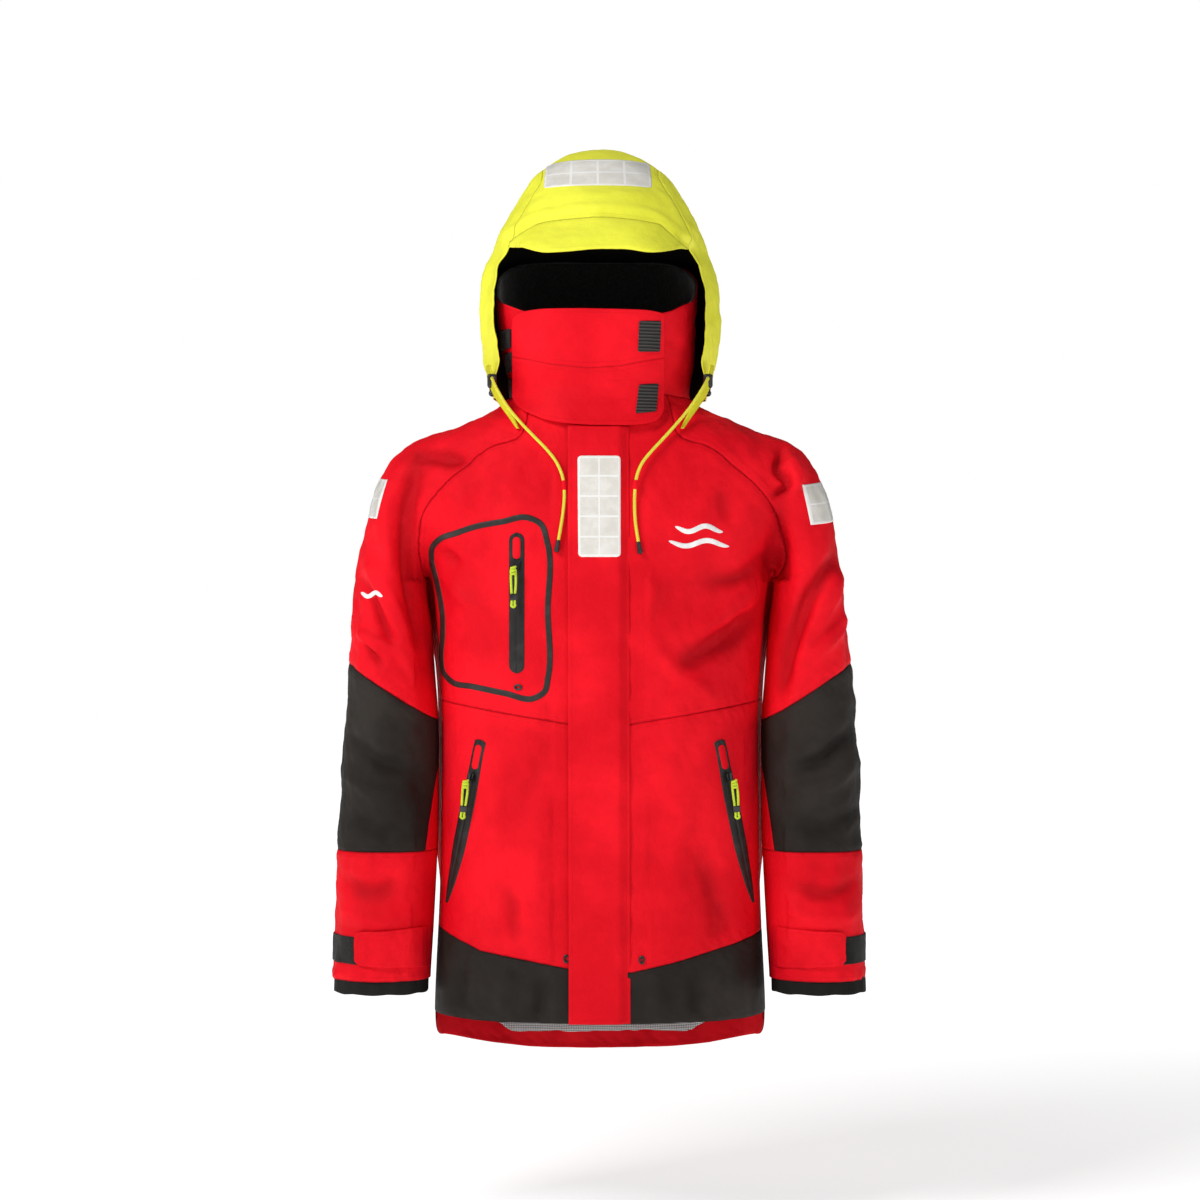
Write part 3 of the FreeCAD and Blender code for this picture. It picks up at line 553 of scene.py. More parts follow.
def plastic(name, colour, rough=0.4, bump_scale=600.0, strength=0.15, specular=0.5):
    look = Look(name)
    wear = look.noise(60.0, 4.0)
    tone = look.mix(look.ramp(wear, 0.4, 0.75), colour, scaled(colour, 1.5, 0.01, 1))
    return look.shade(Base_Color=tone, Roughness=wear * 0.2 + (rough - 0.1), Specular_IOR_Level=specular,
                      Normal=look.bump(look.noise(bump_scale, 3.0), strength, 0.0004))


def braid(name, colour, pitch=2.2, glow=0.05):
    """Braided elastic cord."""
    look = Look(name)
    x, _, z = look.axes()
    turn = 2 * math.pi / (pitch * MM)
    height = (x + z).sine(turn).biggest((x - z).sine(turn))
    fuzz = look.noise(500.0, 2.0)
    tone = look.mix(look.ramp(height, -0.6, 0.6), scaled(colour, 0.6), colour)
    tone = look.mix(fuzz * 0.3, tone, scaled(colour, 0.8))
    return look.shade(Base_Color=tone, Emission_Color=tone, Emission_Strength=glow, Roughness=fuzz * 0.2 + 0.5,
                      Normal=look.bump(height, 0.5, 0.0004))


def reflective(name, columns, rows, border_u, border_v, wide_u=0.035, wide_v=0.045):
    """Silver reflective sheet with a white printed grid, laid out by the u and v attributes."""
    look = Look(name)

    def lines_and_edge(value, count, width, border):
        cell = (value * float(count)).maths("FRACT", value * float(count))
        line = cell.smallest(1.0 - cell).below(width)
        return line, value.smallest(1.0 - value).below(border)

    line_u, edge_u = lines_and_edge(look.attribute("u"), columns, wide_u, border_u)
    line_v, edge_v = lines_and_edge(look.attribute("v"), rows, wide_v, border_v)
    white = line_u.biggest(line_v).biggest(edge_u.biggest(edge_v))
    smear = look.noise(55.0, 5.0, 0.65)
    silver = look.mix(look.ramp(smear, 0.3, 0.75), (0.70, 0.67, 0.61), (0.82, 0.80, 0.75))
    return look.shade(Base_Color=look.mix(white, silver, (0.88, 0.87, 0.84)), Roughness=smear * 0.25 + 0.22,
                      Specular_IOR_Level=0.4, Coat_Weight=0.15,
                      Normal=look.bump(white * 0.8 + look.noise(700.0, 2.0) * 0.3, 0.3, 0.0006))


def fuzzy(name, colour, scale=420.0, strength=0.9, sheen=0.4):
    """Fleece or loop pile."""
    look = Look(name)
    pile = look.noise(scale, 4.0, 0.7)
    tone = look.mix(look.ramp(pile, 0.35, 0.7), scaled(colour, 0.45), scaled(colour, 1.6))
    return look.shade(Base_Color=tone, Roughness=0.9, Sheen_Weight=sheen, Specular_IOR_Level=0.2,
                      Normal=look.bump(pile, strength, 0.001))


def knitted_mesh(name):
    """White knitted lining with round holes over a dark layer."""
    look = Look(name)
    x, _, z = look.axes()
    turn = 2 * math.pi / 0.0046
    hole = look.ramp((x + z).sine(turn) * (x - z).sine(turn), 0.02, 0.35)
    thread = look.mix(look.noise(300.0, 3.0), (0.62, 0.61, 0.60), (0.42, 0.42, 0.42))
    return look.shade(Base_Color=look.mix(hole, thread, (0.012, 0.011, 0.011)), Roughness=0.8,
                      Normal=look.bump(1.0 - hole, 0.8, 0.0008))


def hook_tape(name):
    """Moulded hook tape: fine raised rows across it."""
    look = Look(name)
    rows = look.axes()[2].sine(2 * math.pi / 0.0042)
    tone = look.mix(look.ramp(rows, -0.7, 0.7), (0.008, 0.008, 0.008), (0.055, 0.052, 0.048))
    return look.shade(Base_Color=tone, Roughness=0.55,
                      Normal=look.bump(rows + look.noise(1200.0, 2.0) * 0.6, 0.9, 0.0008))


RED_COLOUR, YELLOW_COLOUR, NEAR_BLACK = (0.87, 0.0035, 0.014), (0.86, 0.86, 0.05), (0.012, 0.011, 0.011)
RED = cloth("red_shell", RED_COLOUR, specular=0.08, sheen=0.0, crease=0.45)
RED_FLAT = cloth("red_shell_plain", RED_COLOUR, seam=False, specular=0.08, sheen=0.0)
RED_INSIDE = cloth("red_inside", (0.62, 0.003, 0.010), rough=0.7, seam=False, specular=0.06, sheen=0.0)
BLACK = cloth("black_shell", (0.023, 0.018, 0.0145), rough=0.66, pitch=1.3, weave=0.5, variation=0.22, crease=0.22,
              sheen=0.03, groove_shade=0.8, specular=0.16)
BLACK_INSIDE = cloth("black_inside", NEAR_BLACK, rough=0.8, seam=False)
YELLOW = cloth("yellow_shell", YELLOW_COLOUR, rough=0.6, glow=0.07, groove_shade=0.5, variation=0.07, crease=0.4,
               specular=0.25, sheen=0.05)
# a darker copy of the yellow for the hood's inside and the tails' backs: painted shade
YELLOW_SHADED_INSIDE = cloth("yellow_inside_shaded", (0.66, 0.62, 0.008), rough=0.65, seam=False, glow=0.03)
LINING = cloth("dark_lining", (0.010, 0.009, 0.008), rough=0.85, seam=False, pitch=1.6, sheen=0.05, specular=0.2)
FLEECE = fuzzy("fleece", (0.011, 0.010, 0.0095), 260.0)
LOOP = fuzzy("loop_tape", (0.012, 0.011, 0.010), 600.0, 1.0, 0.12)
HOOK = hook_tape("hook_tape")
TAPE = plastic("coated_tape", (0.020, 0.018, 0.016), 0.5, 900.0, 0.2, 0.3)
TAPE_DARK = plastic("zip_coating", (0.012, 0.011, 0.010), 0.5, 900.0, 0.25, 0.3)
HARD = plastic("moulded_black", (0.012, 0.012, 0.012), 0.35)
METAL = plastic("painted_slider", (0.010, 0.010, 0.011), 0.28)
CORD = braid("drawcord", (0.84, 0.80, 0.05))
PULL = braid("pull_cord", (0.62, 0.83, 0.03), 1.8)
MESH = knitted_mesh("mesh_lining")
MARK = plastic("white_print", (0.80, 0.79, 0.78), 0.5, 900.0, 0.1)
REFLECT_CHEST = reflective("reflective_chest", 2, 5, 0.055, 0.026)
REFLECT_HOOD = reflective("reflective_hood", 4, 2, 0.022, 0.06, 0.045, 0.05)
REFLECT_ARM = reflective("reflective_arm", 4, 2, 0.03, 0.06, 0.06, 0.04)

# ------------------------------------------------------------------ body and sleeves

TORSO = [(-870, 215, 154, 128, 2.5), (-775, 214, 153, 126, 2.5), (-600, 207, 150, 117, 2.5),
         (-400, 205, 152, 113, 2.5), (-285, 211, 152, 115, 2.5), (-200, 222, 150, 118, 2.5),
         (-160, 250, 148, 116, 2.5), (-110, 268, 143, 112, 2.45), (-75, 264, 138, 106, 2.4),
         (-46, 240, 133, 102, 2.35), (-20, 178, 127, 100, 2.3), (-6, 145, 124, 98, 2.2),
         (6, 126, 121, 97, 2.15), (18, 117, 119, 96, 2.1)]
SLEEVE = [((-170, -62), (-170, -180), -8, 84), ((-222.6, -38), (-222.6, -198), -11, 87),
          ((-262, -57), (-223.6, -205), -11, 85), ((-291, -104), (-225, -214), -12, 81),
          ((-306, -169), (-224, -238), -14, 77), ((-318, -245), (-220, -285), -16, 75),
          ((-327, -330), (-215, -350), -18, 75), ((-333, -400), (-211, -405), -22, 75),
          ((-338, -520), (-210, -520), -28, 73), ((-341, -600), (-213, -600), -33, 70),
          ((-343, -680), (-217, -680), -38, 65), ((-346, -735), (-220, -735), -42, 60),
          ((-347, -790), (-221, -790), -45, 58)]
SLEEVE_POWER = 2.15
SHIRT_VOXEL = 3.7
ARMPIT, HEM, CUFF_END, NECK, BACK_DROP = -225, -775, -730, 13.0, 73
PANEL_THICKNESS = 0.9


def section(table, z):
    """Half width, front, back and power of a level-section table at height z."""
    table = np.asarray(table, float)
    z = np.clip(z, table[0, 0], table[-1, 0])
    return [smooth(table[:, 0], table[:, k], z) for k in (1, 2, 3, 4)]


def section_y(table, x, z):
    """The front of a level-section shape at (x, z), smooth and undented."""
    half_width, front, _, power = section(table, z)
    t = np.clip(np.abs(x) / half_width, 0, 0.999)
    return -front * (1 - t ** power) ** (1 / power)


def section_rings(table, levels, count):
    rings = []
    for level in levels:
        x, y = super_ring(*[float(v) for v in section(table, level)], count)
        rings.append(np.column_stack([x, y, np.full(count, level)]))
    return np.array(rings)


def sleeve_rings(side):
    """Rings down a sleeve, through its outer and inner points, middle y and half depth."""
    at = np.arange(len(SLEEVE), dtype=float)
    rows = np.array([(*outer, *inner, y, depth) for outer, inner, y, depth in SLEEVE], float)
    s = np.linspace(0, len(SLEEVE) - 1, 150)
    c, d = super_ring(1, 1, 1, SLEEVE_POWER, 90)
    rings = []
    for ox, oz, ix, iz, y, h in np.column_stack([smooth(at, column, s) for column in rows.T]):
        x, z = (ox + ix) / 2 + (ox - ix) / 2 * c, (oz + iz) / 2 + (oz - iz) / 2 * c
        rings.append(np.column_stack([x * -side, y + h * d, z]))
    rings = np.array(rings)
    return rings[:, ::-1] if side > 0 else rings


def gap_line(z):
    """Half way between the body's side and the sleeve's inner side."""
    return smooth([-900, -735, -600, -520, -400, -285, -245, -214, -200],
                  [217, 217, 210, 207.8, 208, 215.5, 220.5, 225.5, 227], np.clip(z, -900, -200))


def spread(z):
    """How far the sleeves are held off the body while it is remeshed, so that the two don't join."""
    return 20 * step((-206 - z) / 75)


arms = []
for side, _ in SIDES:
    rings = sleeve_rings(side)
    rings[..., 0] += side * spread(rings[..., 2])
    arms.append(rings)
body = Shell([section_rings(TORSO, np.linspace(-870, 18, 220), 220)] + arms, SHIRT_VOXEL)

# px, py and pz are views of body.points, and so follow what moves the points
px, py, pz = body.points.T
sleeve_side = np.abs(px) > gap_line(pz) + spread(pz) / 2
near_armhole = bump((np.hypot(np.abs(px) - 232, (pz + 130) * 0.8) - 20) / 70)
body.relax(3, 0.5)
body.relax(14, 0.5, np.clip(near_armhole, 0, 1))
body.points[:, 0] -= np.where(sleeve_side, np.sign(px) * (spread(pz) + 2.5 * step((-225 - pz) / 60)), 0)

RAGLAN = [(-80, 30), (-90, -8), (-99, -40), (-137, -54), (-168, -77), (-194, -99), (-213, -120), (-226, -143),
          (-229, -168), (-226, -214), (-220.5, -245), (-215.5, -285), (-208, -400), (-207.8, -520), (-210, -600),
          (-217, -735), (-217, -900)]


def straight(x, z, x0, z0, x1, z1):
    """Signed distance from a straight line, positive above it."""
    dx, dz = x1 - x0, z1 - z0
    return ((z - z0) * dx - (x - x0) * dz) / math.hypot(dx, dz)


def masks():
    """Which vertices belong to the sleeves and which to the torso; a seam's belong to both."""
    found = []
    for chosen in (body.marks["sleeve"], ~body.marks["sleeve"]):
        found.append(np.zeros(len(body.points), bool))
        found[-1][body.tris[chosen].ravel()] = True
    return found


raglan = np.vstack([RAGLAN[:1], rounded(RAGLAN[1:-1], 60), RAGLAN[-1:]])
on_sleeve = body.cut(signed(-np.abs(px), pz, raglan, list(raglan) + [(-500, -900), (-500, 30)]), pz > ARMPIT)
on_sleeve = np.where(body.centres()[:, 2] < -218, sleeve_side[body.tris].all(axis=1), on_sleeve)
body.marks["sleeve"] = on_sleeve
on_arm, on_torso = masks()
neck = body.cut(NECK - pz, pz > -60)
hem_level = HEM - (BACK_DROP - 30 * np.clip(np.abs(px) / 205, 0, 1) ** 3) * step((py + 5) / 55)
above_hem = body.cut(pz - hem_level, on_torso)
above_cuff = body.cut(pz - CUFF_END, on_arm)
keep = np.where(on_sleeve, above_cuff, above_hem) & neck
centre = body.centres()
keep &= ~(~on_sleeve & (np.abs(centre[:, 0]) > 240) & (centre[:, 2] < -200))
body.drop(keep)

# seams: side, yoke, hem panels, placket and the elbow panels' edges
px, py, pz = body.points.T
on_arm, on_torso = masks()
back = body.cut(py - 20, on_torso)
yoke_line = np.interp(np.abs(px), [37, 200, 215], [-402, -376, -373.5])
upper = body.cut(pz - yoke_line, on_torso & (py < 30))
hem_line = np.where(px < 0, np.interp(-px, [0, 36, 75, 151, 204, 216], [-709, -707, -700, -687, -666, -660]),
                    np.interp(px, [0, 40, 87, 206, 218], [-712, -711, -701, -671, -667]))
over_hem = body.cut(pz - hem_line, on_torso & (py < 30))
over_back_hem = body.cut(pz + 700, on_torso & (py > 10))
edge_line = body.cut(np.abs(px) - 10, on_torso & (py < 0))
elbow_top = body.cut(straight(np.abs(px), pz, 206, -402, 317, -333), on_arm)
elbow_low = body.cut(pz + 566, on_arm)
under_line = np.interp(pz, [-566, -430, -400], [222, 204, 199])
outside = body.cut(np.abs(px) - under_line, on_arm & (pz < -395) & (pz > -572))

arm = body.marks["sleeve"]
left = body.centres()[:, 0] > 0
label = np.zeros(len(body.tris), int)
label[~arm & ~back & upper] = 1
label[~arm & ~back & ~upper & over_hem] = 2
label[~arm & ~back & ~over_hem] = 3
label[~arm & back & over_back_hem] = 4
label[~arm & back & ~over_back_hem] = 5
label[arm & elbow_top] = 6
label[arm & ~elbow_top & elbow_low & outside] = 7
label[arm & ~elbow_top & elbow_low & ~outside] = 8
label[arm & ~elbow_low] = 9
zip_gap = ~arm & ~back & ~edge_line
side_label = label + np.where(left & ~np.isin(label, (4, 5)), 10, 0)
seam = body.seam_distance(body.borders(side_label))
body.relax(2, 0.4, (~body.borders(side_label)).astype(float))

# folds: path as (x, z), height in millimetres, width in millimetres
FOLDS = [
    ([(-232, -62), (-246, -150), (-236, -240), (-222, -330)], -6, 15),
    ([(-262, -76), (-272, -150), (-262, -230)], 3, 14),
    ([(-294, -198), (-265, -258), (-240, -325)], 5, 12),
    ([(-300, -222), (-280, -262), (-254, -318)], -4, 9),
    ([(-293, -295), (-249, -314), (-232, -352)], 4, 8),
    ([(-306, -286), (-280, -315)], 4, 7), ([(-302, -300), (-278, -327)], -3.5, 6),
    ([(-229, -60), (-168, -72)], -5, 12), ([(-166, -100), (-180, -166)], 3.5, 16),
    ([(-213, -196), (-190, -230), (-150, -262)], 3, 12), ([(-205, -180), (-176, -206)], -3, 11),
    ([(232, -56), (226, -80), (239, -98), (222, -113)], -6, 7),
    ([(240, -66), (250, -90), (246, -110)], 4, 8),
    ([(228, -128), (226, -180), (217, -262), (213, -330)], -5, 14),
    ([(212, -258), (168, -288), (128, -315), (101, -341)], -6, 17),
    ([(206, -228), (166, -262), (120, -290)], 4.5, 15),
    ([(214, -182), (188, -212), (134, -226)], -4, 13), ([(34, -210), (64, -235), (44, -280)], 3.5, 14),
    ([(188, -352), (210, -342)], 4, 8), ([(60, -300), (110, -345), (150, -372)], 3, 13),
    ([(300, -192), (265, -246), (238, -315), (225, -355)], -6, 13),
    ([(312, -212), (282, -262), (252, -322)], 4.5, 12), ([(318, -262), (290, -300), (266, -322)], 4, 9),
    ([(-60, -300), (-66, -380), (-58, -392)], -3, 12), ([(150, -108), (160, -150)], -3, 14),
    ([(-320, -420), (-280, -450), (-232, -462)], -3.5, 12), ([(-322, -470), (-285, -492), (-236, -486)], 3, 12),
    ([(-318, -520), (-276, -540), (-240, -532)], -3, 13),
    ([(320, -410), (285, -446), (236, -462)], -4, 12), ([(326, -455), (288, -480), (240, -490)], 3.5, 12),
    ([(324, -512), (282, -534), (240, -528)], -3, 14),
    ([(-330, -600), (-290, -615), (-246, -604)], -3, 14), ([(-322, -645), (-280, -655), (-232, -640)], 2.5, 13),
    ([(330, -602), (286, -620), (240, -606)], -3, 14), ([(326, -648), (280, -652), (236, -640)], 3, 12),
    ([(-190, -420), (-150, -470), (-130, -560)], 2.5, 18), ([(-60, -470), (-80, -560), (-70, -650)], 3, 22),
    ([(70, -440), (100, -520), (90, -640)], 3, 24), ([(190, -420), (150, -480)], 2.5, 14),
    ([(120, -560), (150, -640), (140, -690)], -3, 20), ([(-120, -600), (-100, -680)], -2.5, 16),
    ([(-180, -700), (-176, -770)], -3, 14), ([(-120, -708), (-124, -772)], 3, 16),
    ([(-70, -715), (-78, -772)], -3, 12), ([(70, -716), (76, -772)], 3, 14), ([(120, -712), (124, -772)], -3.5, 15),
    ([(170, -700), (176, -770)], 3, 14),
]
BACK_FOLDS = [
    ([(-150, -60), (-90, -110), (-20, -130)], 4, 18), ([(150, -64), (84, -118), (10, -140)], -4, 18),
    ([(-200, -210), (-120, -280), (-60, -300)], -4, 18), ([(204, -214), (130, -270), (60, -310)], 4, 18),
    ([(-190, -300), (-110, -380), (-90, -480)], 4, 22), ([(180, -320), (120, -420), (110, -520)], -4, 22),
    ([(-60, -420), (-30, -560), (-50, -690)], 4, 26), ([(70, -430), (50, -560), (80, -690)], 4, 26),
    ([(-140, -560), (-150, -690)], -4, 20), ([(150, -580), (160, -690)], -4, 20),
    ([(-120, -710), (-126, -840)], 4, 18), ([(-30, -710), (-36, -842)], -4, 18), ([(60, -710), (66, -842)], 4, 18),
    ([(140, -710), (150, -836)], -4, 18), ([(-296, -210), (-262, -270), (-238, -330)], 4, 13),
    ([(298, -214), (262, -276), (236, -336)], 4, 13), ([(-320, -420), (-282, -450), (-234, -440)], 4, 12),
    ([(322, -424), (280, -452), (236, -446)], 4, 12), ([(-320, -480), (-280, -505), (-236, -492)], -4, 12),
    ([(322, -486), (282, -506), (236, -498)], -4, 12), ([(-322, -610), (-280, -640), (-240, -632)], 3.5, 14),
    ([(326, -606), (284, -640), (240, -630)], 3.5, 14),
]
POCKET = [(-158, -155.5), (-122, -149), (-91, -144), (-74, -152), (-65.5, -176), (-65, -260), (-65, -345),
          (-69, -361), (-82, -369.5), (-120, -363.5), (-160, -356), (-188, -351), (-201, -338), (-203.5, -319),
          (-201, -292), (-201, -267), (-209, -222), (-215, -195), (-213, -180), (-204, -171), (-180, -162.5)]
CHEST_ZIP = [(-104, -164), (-104, -338)]
HAND_ZIP = [(-152, -428), (-158, -462), (-167, -505), (-177, -555), (-184, -612)]

ARM_FOLD, TORSO_FOLD, FOLD_NARROWING = 2.8, 2.2, 0.86
DEEPEST, HIGHEST = -11, 7
normal = body.normals()
facing_front = step(-normal[:, 1] * 1.6 + 0.15)
facing_back = step(normal[:, 1] * 1.6 + 0.15)
rise = np.zeros(len(px))
for strokes, weight in ((FOLDS, facing_front), (BACK_FOLDS, facing_back)):
    for path, height, width in strokes:
        d, along = line_distance(px, pz, rounded(path, 24) if len(path) > 2 else path)
        fade = np.sin(np.pi * np.clip(along * 0.9 + 0.05, 0, 1)) ** 0.7
        rise += np.where(on_arm, ARM_FOLD, TORSO_FOLD) * height * bump(d / (FOLD_NARROWING * width)) * fade * weight
rise = np.clip(rise, DEEPEST, HIGHEST)
rise += 2.4 * waves(body.points, 95, 3, (1, 1, 1.7)) + 1.5 * waves(body.points, 36, 4, (1, 1, 1.5))
rise += 0.5 * waves(body.points, 13, 5)
rise += np.where(on_arm, 1.1 * waves(body.points, 46, 6, (1.5, 1.5, 0.8)), 0)
along_seam = px * 0.7 + pz * 0.9 + py * 0.5
pucker = 0.5 + 0.5 * np.sin(along_seam * 0.42 + 1.5 * np.sin(along_seam * 0.11))
rise += -0.9 * bump(seam / 3.0) + 0.9 * bump((seam - 9) / 6) * pucker
hem_near = np.minimum(np.abs(pz + 728), 60)
rise += np.where(on_arm, 0.8 * np.sin(py * 0.28 + px * 0.2) * bump(hem_near / 16), 0)

# zips, tapes and the flap's place lie nearly flat
near = np.full(len(px), 1e9)
for path in (CHEST_ZIP, HAND_ZIP, [(-x, z) for x, z in HAND_ZIP]):
    near = np.minimum(near, line_distance(px, pz, path)[0])
near = np.minimum(near, line_distance(px, pz, rounded(POCKET, 60, True))[0] * 0.8 + 14)
near = np.minimum(near, np.where(np.abs(px) < 60, 20, 60))
flat = np.where(facing_front > 0.2, step((near - 12) / 34), 1)
rise = rise * (0.12 + 0.88 * flat)
beside_gap = np.abs(np.abs(px) - gap_line(pz))
room = np.where(pz < -222, step(beside_gap / 26), 1)
rise = np.where(room < 1, np.minimum(rise, 0.2) * room, rise)
# how deep each point lies in a crease; the cloth darkens there as painted shade
crease_shade = np.clip(-(rise + 1.0) / 6.5, 0, 1)
collar_near = step((13 - pz) / 26)
body.points += normal * (rise * (0.15 + 0.85 * np.where(on_torso, collar_near, 1)))[:, None]
# below the armpit the body fills out behind, so that no gap shows beside the arm
side_bulge = (11.5 + 8 * bump((pz + 262) / 48) + 8 * bump((pz + 224) / 28)) * bump((py - 37) / 22) * \
    step((-200 - pz) / 14) * step((np.abs(px) - 150) / 40)
body.points[:, 0] += np.where(on_torso, np.sign(px) * side_bulge * (1 - 0.75 * step((-560 - pz) / 80)), 0)
body_normal = body.normals()
body_tree = tree_of(body.points, body.tris)


RED_SHELL, BLACK_SHELL = (RED, RED_INSIDE, "red_shell"), (BLACK, RED_INSIDE, "black_shell")
BLACK_ELBOW = (BLACK, BLACK_INSIDE, "black_shell")


def panel(number, name, outer, inner, slot):
    """One cut panel of the body or sleeves, from the triangles with its label."""
    obj = body.cloth(name, (side_label == number) & ~zip_gap, PANEL_THICKNESS, outer, inner, body_normal,
                     {"seam": seam, "crease_shade": crease_shade})
    return obj


def shoulder_blend(obj):
    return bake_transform(obj)


def elbow_blend(obj):
    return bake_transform(obj)


for (side, word), more in zip(SIDES, (0, 10)):
    for number, name, node, kind in ((1, "front_upper", "upper_fronts", RED_SHELL),
                                     (2, "front_lower", "lower_fronts", RED_SHELL),
                                     (3, "hem_panel", "hem_panels", BLACK_SHELL)):
        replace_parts(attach(panel(number + more, f"{name}_{word}", *kind), "body"), node)
    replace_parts(shoulder_blend(panel(6 + more, f"raglan_sleeve_{word}", *RED_SHELL)),
                "raglan_shoulders", f"sleeve_upper_{word}")
    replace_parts(elbow_blend(panel(7 + more, f"elbow_panel_{word}", *BLACK_ELBOW)),
                f"elbow_panel_upper_{word}")
    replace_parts(elbow_blend(panel(8 + more, f"under_sleeve_{word}", *RED_SHELL)),
                f"elbow_panel_lower_{word}")
    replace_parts(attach(panel(9 + more, f"lower_sleeve_{word}", *RED_SHELL), f"forearm_{word}"),
                f"sleeve_lower_{word}")
for number, name, node, kind in ((4, "back", "back_panel", RED_SHELL),
                                 (5, "back_hem", "back_hem_panel", BLACK_SHELL)):
    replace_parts(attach(panel(number, name, *kind), "body"), node)

# ------------------------------------------------------------------ collar and face guard

COLLAR = np.array([(-40, 117, 118, 95, 2.1), (18, 117, 119, 96, 2.1), (60, 123, 122, 97, 2.15),
                   (110, 128, 125, 99, 2.2), (150, 131, 127, 101, 2.2), (215, 130, 127, 102, 2.2)], float)
GUARD = np.array([(-40, 197, 143, 100, 2.3), (-28, 178, 140.5, 100, 2.28), (-10, 160, 135, 98, 2.2),
                  (8, 138, 131.5, 97, 2.12), (30, 130, 130.7, 97, 2.1), (60, 133, 131.7, 98, 2.15),
                  (130, 138, 135.5, 99, 2.2)], float)


COLLAR_ROWS, COLLAR_COLUMNS = 56, 240
COLLAR_GRID = grid_faces(COLLAR_ROWS, COLLAR_COLUMNS)
COLLAR_BASE, COLLAR_LEAN = -6, 5.0


def collar_ring(angle, z, grow=0.0):
    half_width, front, back, power = section(COLLAR, z)
    c, s = np.cos(angle), np.sin(angle)
    x = np.sign(c) * np.abs(c) ** (2 / power) * (half_width + grow)
    y = np.sign(s) * np.abs(s) ** (2 / power)
    return x, np.where(y > 0, y * (back + grow), y * (front + grow))


def collar_sheet(name, grow, thickness, lower, outer, inner, opening):
    """A standing collar, open at the front by twice the opening, higher at the back."""
    gap = (opening / 120) ** 1.05
    angle = np.linspace(gap - math.pi / 2, gap - math.pi / 2 + 2 * math.pi - 2 * gap, COLLAR_COLUMNS)
    _, y0 = collar_ring(angle, np.full(COLLAR_COLUMNS, 120.0))
    top = smooth([-130, -115, -95, -75, -40, 0, 40, 80, 110],
                 [113, 113, 118, 127, 139, 163, 184, 201, 205], y0) - lower
    rows = []
    for t in np.linspace(0, 1, COLLAR_ROWS):
        z = COLLAR_BASE + t * (top - COLLAR_BASE)
        x, y = collar_ring(angle, z, grow)
        rows.append(np.column_stack([x - COLLAR_LEAN * step((z - 10) / 130) * step((np.abs(x) - 40) / 70), y, z]))
    flat = np.vstack(rows)
    normal = point_normals(flat, np.array(COLLAR_GRID))
    lean = waves(flat, 60, 31, (1, 1, 0.7)) * 1.5 + waves(flat, 24, 32, (1, 1, 0.6)) * 0.5
    calm = step((np.abs(flat[:, 0]) - 8) / 30) * step((flat[:, 2] - 2) / 30)
    flat = flat + normal * (lean * calm)[:, None]
    edge = np.abs(flat[:, 2] - np.tile(top, COLLAR_ROWS))
    return sheet(name, flat, COLLAR_GRID, thickness, outer, inner, attributes={"seam": np.minimum(edge + 1.6, 40)})


collar = collar_sheet("collar", 0.0, 1.3, 0.0, RED, LINING, 5.0)
# the rim is bound in black at the back and on the wearer's right
for face in collar.data.polygons:
    if face.material_index == 0 and abs(face.normal.z) > 0.6 and (face.center.y > 0.06 or face.center.x < 0):
        face.material_index = 1
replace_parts(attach(collar, "body"), "collar_shell")
fleece = collar_sheet("collar_fleece", -1.8, 3.0, 1.5, FLEECE, FLEECE, 7.0)
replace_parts(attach(fleece, "body"), "collar_lining")


def outline_grid(low, high, x0, x1, columns, rows):
    """A grid between two edges, given as (x, z) points, from x0 to x1; spaced closer at its ends."""
    t = 0.5 - 0.5 * np.cos(np.linspace(0, math.pi, columns))
    t = 0.55 * t + 0.45 * np.linspace(0, 1, columns)
    x = x0 + (x1 - x0) * t
    bottom = smooth(*np.array(low, float).T, x)
    top = smooth(*np.array(high, float).T, x)
    v = np.linspace(0, 1, rows)[:, None]
    return np.tile(x, (rows, 1)), bottom + (top - bottom) * v


def edge_distance(x, z):
    """Distance in a grid to its nearest border, from the (x, z) of its points."""
    border = np.vstack([np.column_stack([x[0], z[0]]), np.column_stack([x[:, -1], z[:, -1]]),
                        np.column_stack([x[-1], z[-1]])[::-1], np.column_stack([x[:, 0], z[:, 0]])[::-1]])
    return line_distance(x.ravel(), z.ravel(), border)[0]


GUARD_LOW = [(-112, 11), (-108, 3), (-96, -8), (-82, -15), (-69, -20), (-40, -25.5), (-12, -27.5), (31, -28),
             (60, -25.5), (70, -22), (78, -14), (81, -4)]
GUARD_HIGH = [(-112, 109), (-108, 113), (-96, 117.5), (-69, 119), (-6, 118), (56, 117), (76, 114.5), (81, 113)]
GUARD_GRID = grid_faces(100, 150)
gx, gz = outline_grid(GUARD_LOW, GUARD_HIGH, -112, 81, 150, 100)
gy = section_y(GUARD, gx, gz)
guard_seam = np.interp(gx, [-112, -60, -15, 25, 81], [62, 49, 44, 46.5, 58.5])
spots = np.column_stack([gx.ravel(), gy.ravel(), gz.ravel()])
swell = waves(spots, 70, 41, (1.2, 1, 1)) * 1.6 + waves(spots, 26, 42, (1.6, 1, 0.8)) * 0.5
for path, height, width in (
        ([(-100, 95), (-60, 84), (-20, 88)], 1.4, 9), ([(-104, 20), (-60, 26), (0, 20)], -1.3, 11),
        ([(66, 60), (40, 48), (10, 44)], -1.2, 8), ([(70, 86), (46, 64)], 1.3, 8),
        ([(-70, 4), (-20, -6), (40, -2)], 1.2, 9)):
    d, along = line_distance(spots[:, 0], spots[:, 2], path)
    swell += height * bump(d / width) * np.sin(np.pi * np.clip(along, 0.03, 0.97))
seam_gap = np.abs(gz - guard_seam).ravel()
swell += -0.9 * bump(seam_gap / 2.2)
spots[:, 1] -= np.maximum(swell, -1.2)
guard = sheet("face_guard", spots, GUARD_GRID, 2.0, RED, RED,
              attributes={"seam": np.minimum(seam_gap, edge_distance(gx, gz) + 1.3)})
